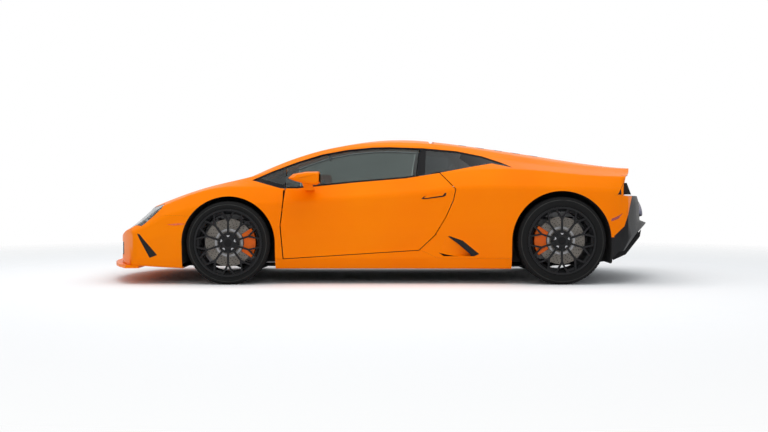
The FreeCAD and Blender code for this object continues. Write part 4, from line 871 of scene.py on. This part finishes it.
def pad(name, path, across, half, thick, channels=(), crown=0.3, cuts=15):
    """A foam pad along a path of (along, up) points, with its sides pulled in and its top crowned."""
    bm = bmesh.new()
    bmesh.ops.create_cube(bm, size=1.0)
    bmesh.ops.subdivide_edges(bm, edges=bm.edges[:], cuts=cuts, use_grid_fill=True)
    points = [Vector((x, 0, z)) for x, z in path]
    lengths = [(b - a).length for a, b in zip(points, points[1:])]
    for vert in bm.verts:
        u, v, w = vert.co.x + 0.5, 2 * vert.co.y, vert.co.z + 0.5
        left = u * sum(lengths)
        index = 0
        while index < len(lengths) - 1 and left > lengths[index]:
            left -= lengths[index]
            index += 1
        run = (points[index + 1] - points[index]).normalized()
        if index < len(lengths) - 1:
            turn = (points[index + 2] - points[index + 1]).normalized()
            run = run.lerp(turn, 0.5 * left / lengths[index]).normalized()
        rise = Vector((-run.z, 0, run.x))
        dip = sum(math.exp(-((u - c) / CHANNEL_RUN) ** 2) for c in channels)
        dome = (1 - crown * v * v) * (1 - crown * (2 * u - 1) ** 4)
        pull = 1 - 0.05 * math.sin(math.pi * u) * abs(v)
        spot = points[index] + run * left + rise * w * (thick * dome - CHANNEL_DEPTH * dip * (1 - v * v))
        vert.co = (spot.x, across + v * half * pull, spot.z)
    piece = solid(name, bm, leather, "leather", smooth=60)
    rounded = piece.modifiers.new("foam", "SUBSURF")
    rounded.levels = rounded.render_levels = 1


def rounded_off(bm, edges, offset, segments=3):
    return bmesh.ops.bevel(bm, geom=edges, offset=offset, segments=segments, affect="EDGES", profile=0.5,
                           material=-1)["verts"]


def raised(bm, face, by):
    """Extrudes a face into a slab along a vector."""
    bmesh.ops.translate(bm, verts=verts_in(bmesh.ops.extrude_face_region(bm, geom=[face])), vec=by)


def block(bm, centre, size, turn=0.0, bevel=0.004, segments=3):
    """A moulded block with rounded edges, turned about the axis across the car."""
    made = bmesh.ops.create_cube(bm, size=1.0)["verts"]
    bmesh.ops.scale(bm, verts=made, vec=size)
    grown = rounded_off(bm, list({e for v in made for e in v.link_edges}), bevel, segments)
    made = list({v for v in made if v.is_valid} | set(grown))
    bmesh.ops.rotate(bm, verts=made, cent=(0, 0, 0), matrix=Matrix.Rotation(math.radians(turn), 3, "Y"))
    bmesh.ops.translate(bm, verts=made, vec=centre)


def moulded(name, blocks, *looks):
    """A piece made of rounded blocks."""
    bm = bmesh.new()
    for each in blocks:
        block(bm, *each)
    solid(name, bm, *looks)


CUSHION = [(-0.318, 0.272), (-0.080, 0.246), (0.165, 0.262)]
BACKREST = [(0.232, 0.350), (0.320, 0.545), (0.402, 0.715)]
HEAD = [(0.408, 0.728), (0.482, 0.884)]
SHELL = [(-0.325, 0.200), (0.170, 0.165), (0.235, 0.157), (0.325, 0.205), (0.565, 0.860), (0.540, 0.920),
         (0.498, 0.915), (0.402, 0.712), (0.240, 0.345), (0.168, 0.258), (-0.080, 0.243), (-0.322, 0.268)]
SEAT_Y, SHELL_HALF = 0.37, 0.215
PLINTH, PLINTH_X, PLINTH_Z = (0.38, 0.36, 0.06), -0.05, 0.182
for side_name, side in SIDES:
    middle = side * SEAT_Y
    bm = bmesh.new()
    raised(bm, faced(bm, SHELL, middle - SHELL_HALF), (0, 2 * SHELL_HALF, 0))
    rounded_off(bm, bm.edges[:], 0.012)
    plinth = bmesh.ops.create_cube(bm, size=1.0)["verts"]
    bmesh.ops.scale(bm, verts=plinth, vec=PLINTH)
    bmesh.ops.translate(bm, verts=plinth, vec=(PLINTH_X, middle, PLINTH_Z))
    shell = solid("seat_shell_" + side_name, bm, carbon, "carbon_tub")
    if side < 0:
        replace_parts(shell, "seats")
    pad("seat_cushion_" + side_name, CUSHION, middle, 0.152, 0.070, channels=(0.25, 0.5, 0.75))
    pad("seat_backrest_" + side_name, BACKREST, middle, 0.150, 0.060, channels=(0.2, 0.4, 0.6, 0.8))
    pad("head_pad_" + side_name, HEAD, middle, 0.130, 0.055, crown=0.35)
    for edge_name, edge in (("inner", -side), ("outer", side)):
        ends = side_name + "_" + edge_name
        pad("cushion_bolster_" + ends, CUSHION, middle + edge * 0.190, 0.042, 0.096, crown=0.5, cuts=11)
        pad("back_bolster_" + ends, BACKREST[:2] + [(0.395, 0.700)], middle + edge * 0.188, 0.044, 0.112,
            crown=0.5, cuts=11)

webbing = finish("belt_webbing", (0.012, 0.012, 0.013), (0.03, 0.03, 0.03), drift=30, grain=1500, rough=0.8,
                 swing=0.2, relief=0.9)
BELT_WIDTH = 0.046
BELT = [(0.560, 0.640, 0.880), (0.505, 0.655, 0.760), (0.405, 0.655, 0.520), (0.330, 0.652, 0.320),
        (0.300, 0.650, 0.230)]
for side_name, side in SIDES:
    bm = bmesh.new()
    edges = chain(bm, [(x - BELT_WIDTH / 2, side * y, z) for x, y, z in BELT])[1]
    wide = bmesh.ops.extrude_edge_only(bm, edges=edges)
    bmesh.ops.translate(bm, verts=verts_in(wide), vec=(BELT_WIDTH, 0, 0.012))
    bmesh.ops.subdivide_edges(bm, edges=bm.edges[:], cuts=3, use_grid_fill=True, smooth=0.4)
    walled(bm, 0.0014)
    solid("belt_" + side_name, bm, webbing, smooth=30)
    buckle = ((0.150, side * 0.135, 0.330), (0.024, 0.030, 0.070), -20, 0.005)
    moulded("belt_buckle_" + side_name, [buckle], black)

# -------- dashboard and console
# A leather-wrapped dashboard with an instrument hood, round vents and a centre screen, and a
# gloss-black console with a raised switch panel. Pedals, door trims, mats and a mirror go with
# them; the pieces are screwed to the tub and the doors.
softened("dash_cover", "dashboard", leather, "leather", width=0.016, segments=4)
HOOD = [((-0.655, -0.370, 0.742), (0.150, 0.300, 0.050), 8, 0.02, 5)]
DISPLAYS = [((-0.585, -0.370, 0.690), (0.012, 0.270, 0.070), 18),
            ((-0.590, 0.0, 0.640), (0.014, 0.200, 0.110), 14)]
moulded("instrument_hood", HOOD, leather, "leather")
moulded("display_glass", DISPLAYS, gloss_black)
bm = bmesh.new()
for y in (-0.610, -0.140, 0.140, 0.610):
    for radius, depth, step in ((0.036, 0.016, 0.0), (0.028, 0.010, 0.006), (0.010, 0.014, 0.009)):
        place = Matrix.Translation((-0.588 - step * 0.2, y, 0.690)) @ Matrix.Rotation(math.pi / 2, 4, "Y")
        bmesh.ops.create_cone(bm, cap_ends=True, segments=36, radius1=radius, radius2=radius * 0.92,
                              depth=depth, matrix=place)
solid("air_vents", bm, black)
softened("console_cover", "centre_console", gloss_black, "black_plastic", width=0.010, segments=4)
KEY, KEY_PITCH = (0.020, 0.028, 0.008), 0.036
SWITCHES = [((-0.500 + row * 0.035, -0.054 + column * KEY_PITCH, 0.545 - row * 0.012), KEY, 20, 0.002)
            for row in range(3) for column in range(4)]
SWITCHES += [((-0.330, 0.0, 0.462), (0.060, 0.050, 0.012), 15),
             ((-0.100, 0.0, 0.415), (0.220, 0.150, 0.020), 0, 0.008)]
moulded("console_switches", SWITCHES, black)
wheel_low, wheel_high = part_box("steering_wheel")
hub = (wheel_low + wheel_high) / 2
BOSS = [((hub.x + 0.012, hub.y, hub.z - 0.004), (0.046, 0.120, 0.085), 22, 0.016, 5)]
PEDALS = [((-0.800, -0.300, 0.270), (0.010, 0.055, 0.13), -25),
          ((-0.800, -0.400, 0.300), (0.010, 0.055, 0.08), -25),
          ((-0.775, -0.555, 0.250), (0.012, 0.080, 0.16), -30)]
CABIN_MIRROR = [((-0.455, 0.0, 1.018), (0.018, 0.210, 0.055), -12, 0.007),
                ((-0.480, 0.0, 1.052), (0.060, 0.020, 0.014), 28)]
moulded("wheel_boss", BOSS, leather, "leather", "steering_wheel")
moulded("pedals", PEDALS, steel, "steel")
for side_name, side in SIDES:
    trim = [((-0.120, side * 0.700, 0.560), (0.620, 0.022, 0.140), 0, 0.010),
            ((-0.060, side * 0.692, 0.520), (0.360, 0.045, 0.040), 0, 0.014, 4)]
    moulded("door_trim_" + side_name, trim, leather, "leather", "door_" + side_name)
moulded("cabin_mirror", CABIN_MIRROR, black)
carpet = finish("black_carpet", (0.012, 0.012, 0.012), (0.026, 0.026, 0.026), drift=60, grain=900, rough=0.97,
                swing=0.03, relief=1.0)
MATS = [((-0.560, side * SEAT_Y, 0.166), (0.400, 0.380, 0.010), 0, 0.003) for side in (-1, 1)]
moulded("floor_mats", MATS, carpet)

# -------- tail: mesh, lamps, pipes and fins
# A nylon honeycomb fills the tail under the lid, with light strips let into it at both sides. Two
# steel pipes pass through the diffuser, which carries upright moulded fins.
MESH_X, GUIDE_X = 2.026, 2.046
bm = honeycomb(72, 8, 0.024, 0.0022)
moved(bm, (0, 0, 0.770))
trimmed_to(bm, (-0.800, 0.705), (0.800, 0.850))
for vert in bm.verts:
    vert.co.x = MESH_X
solid("tail_mesh", walled(swept_all(bm), 0.005), black, smooth=0)
lamp_glow = finish("red_light_guide", (0.95, 0.012, 0.008), (0.7, 0.008, 0.006), drift=40, grain=300,
                   rough=0.2, Coat_Weight=1.0)
STRIPS = [[(0.470, 0.752), (0.700, 0.752), (0.780, 0.776), (0.780, 0.770), (0.706, 0.744), (0.470, 0.744)],
          [(0.640, 0.744), (0.700, 0.744), (0.760, 0.722), (0.752, 0.718), (0.696, 0.734), (0.640, 0.736)]]
for side_name, side in SIDES:
    bm = bmesh.new()
    for outline in STRIPS:
        face = bm.faces.new([bm.verts.new((GUIDE_X, side * y, z)) for y, z in outline])
        raised(bm, face, (0.006, 0, 0))
    sliced(bm, 1, [side * 0.5, side * 0.6, side * 0.7])
    solid("tail_light_guide_" + side_name, swept_all(bm), lamp_glow, "tail_lamp", smooth=30)

pipe_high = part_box("exhausts")[1]
TIP_OUT, PIPE_Y, PIPE_Z, TIP_TILT = 0.018, 0.150, 0.586, -105
TIP = [(0.050, 0.000), (0.064, 0.004), (0.066, 0.012), (0.064, 0.060), (0.058, 0.060), (0.055, 0.014),
       (0.050, 0.006)]
for side_name, side in SIDES:
    bm = spun(TIP, 72, closed=True)
    moved(bm, (pipe_high.x + TIP_OUT, side * PIPE_Y, PIPE_Z), math.radians(TIP_TILT))
    solid("exhaust_tip_" + side_name, bm, pipe_steel, "exhaust")

FIN = [(1.90, 0.205), (2.10, 0.300), (2.215, 0.410), (2.205, 0.352), (2.06, 0.215), (1.92, 0.168)]
bm = bmesh.new()
FIN_WALL = 0.010
for y in (-0.52, -0.26, 0.0, 0.26, 0.52):
    raised(bm, faced(bm, FIN, y - FIN_WALL / 2), (0, FIN_WALL, 0))
solid("diffuser_fins", swept_all(bm), black, smooth=0)

# -------- engine cover louvres and engine
# Gloss-black louvre blades bonded to the engine cover, and under it the ribbed cam covers and the
# intake plenum of the engine, all cast in alloy and bolted down.
LOUVRES, FIRST_LOUVRE, LOUVRE_PITCH, LOUVRE = 5, 0.640, 0.150, 0.062
for i in range(LOUVRES):
    x = FIRST_LOUVRE + i * LOUVRE_PITCH
    outline = [(x, -0.290), (x + LOUVRE, -0.275), (x + LOUVRE, 0.275), (x, 0.290)]
    top_patch("louvre_{}".format(i), outline, ["engine_cover"], gloss_black, body="engine_cover", lift=0.0015,
              wall=0.004, pitch=0.05, both=False)
COVER_Y, RIB, RUNNER = 0.180, (0.012, 0.110, 0.010), (0.034, 0.300, 0.034)
castings = [((0.960, 0.0, 0.715), (0.460, 0.160, 0.060), 0, 0.025, 5)]
castings += [((0.800 + i * 0.080, 0.0, 0.735), RUNNER, 0, 0.014, 4) for i in range(5)]
for y in (-COVER_Y, COVER_Y):
    castings += [((0.960, y, 0.705), (0.520, 0.130, 0.050), 0, 0.018, 4)]
    castings += [((0.740 + i * 0.055, y, 0.733), RIB, 0, 0.003) for i in range(9)]
moulded("cam_covers", castings, alloy, "engine")

# -------- wipers
# Two pressed-steel wiper arms with rubber blades, splined to spindles under the cowl, park along
# the foot of the screen.
WIPERS = [[(-1.030, 0.010), (-0.920, 0.470), (-0.908, 0.467), (-1.018, 0.008)],
          [(-1.012, 0.020), (-0.962, 0.240), (-0.953, 0.238), (-1.003, 0.018)]]
for i, outline in enumerate(WIPERS):
    top_patch("wiper_{}_" + str(i), [(x, -y) for x, y in outline], ["windscreen"], (rubber, black)[i],
              lift=0.004 + 0.008 * i, wall=0.007, pitch=0.05)
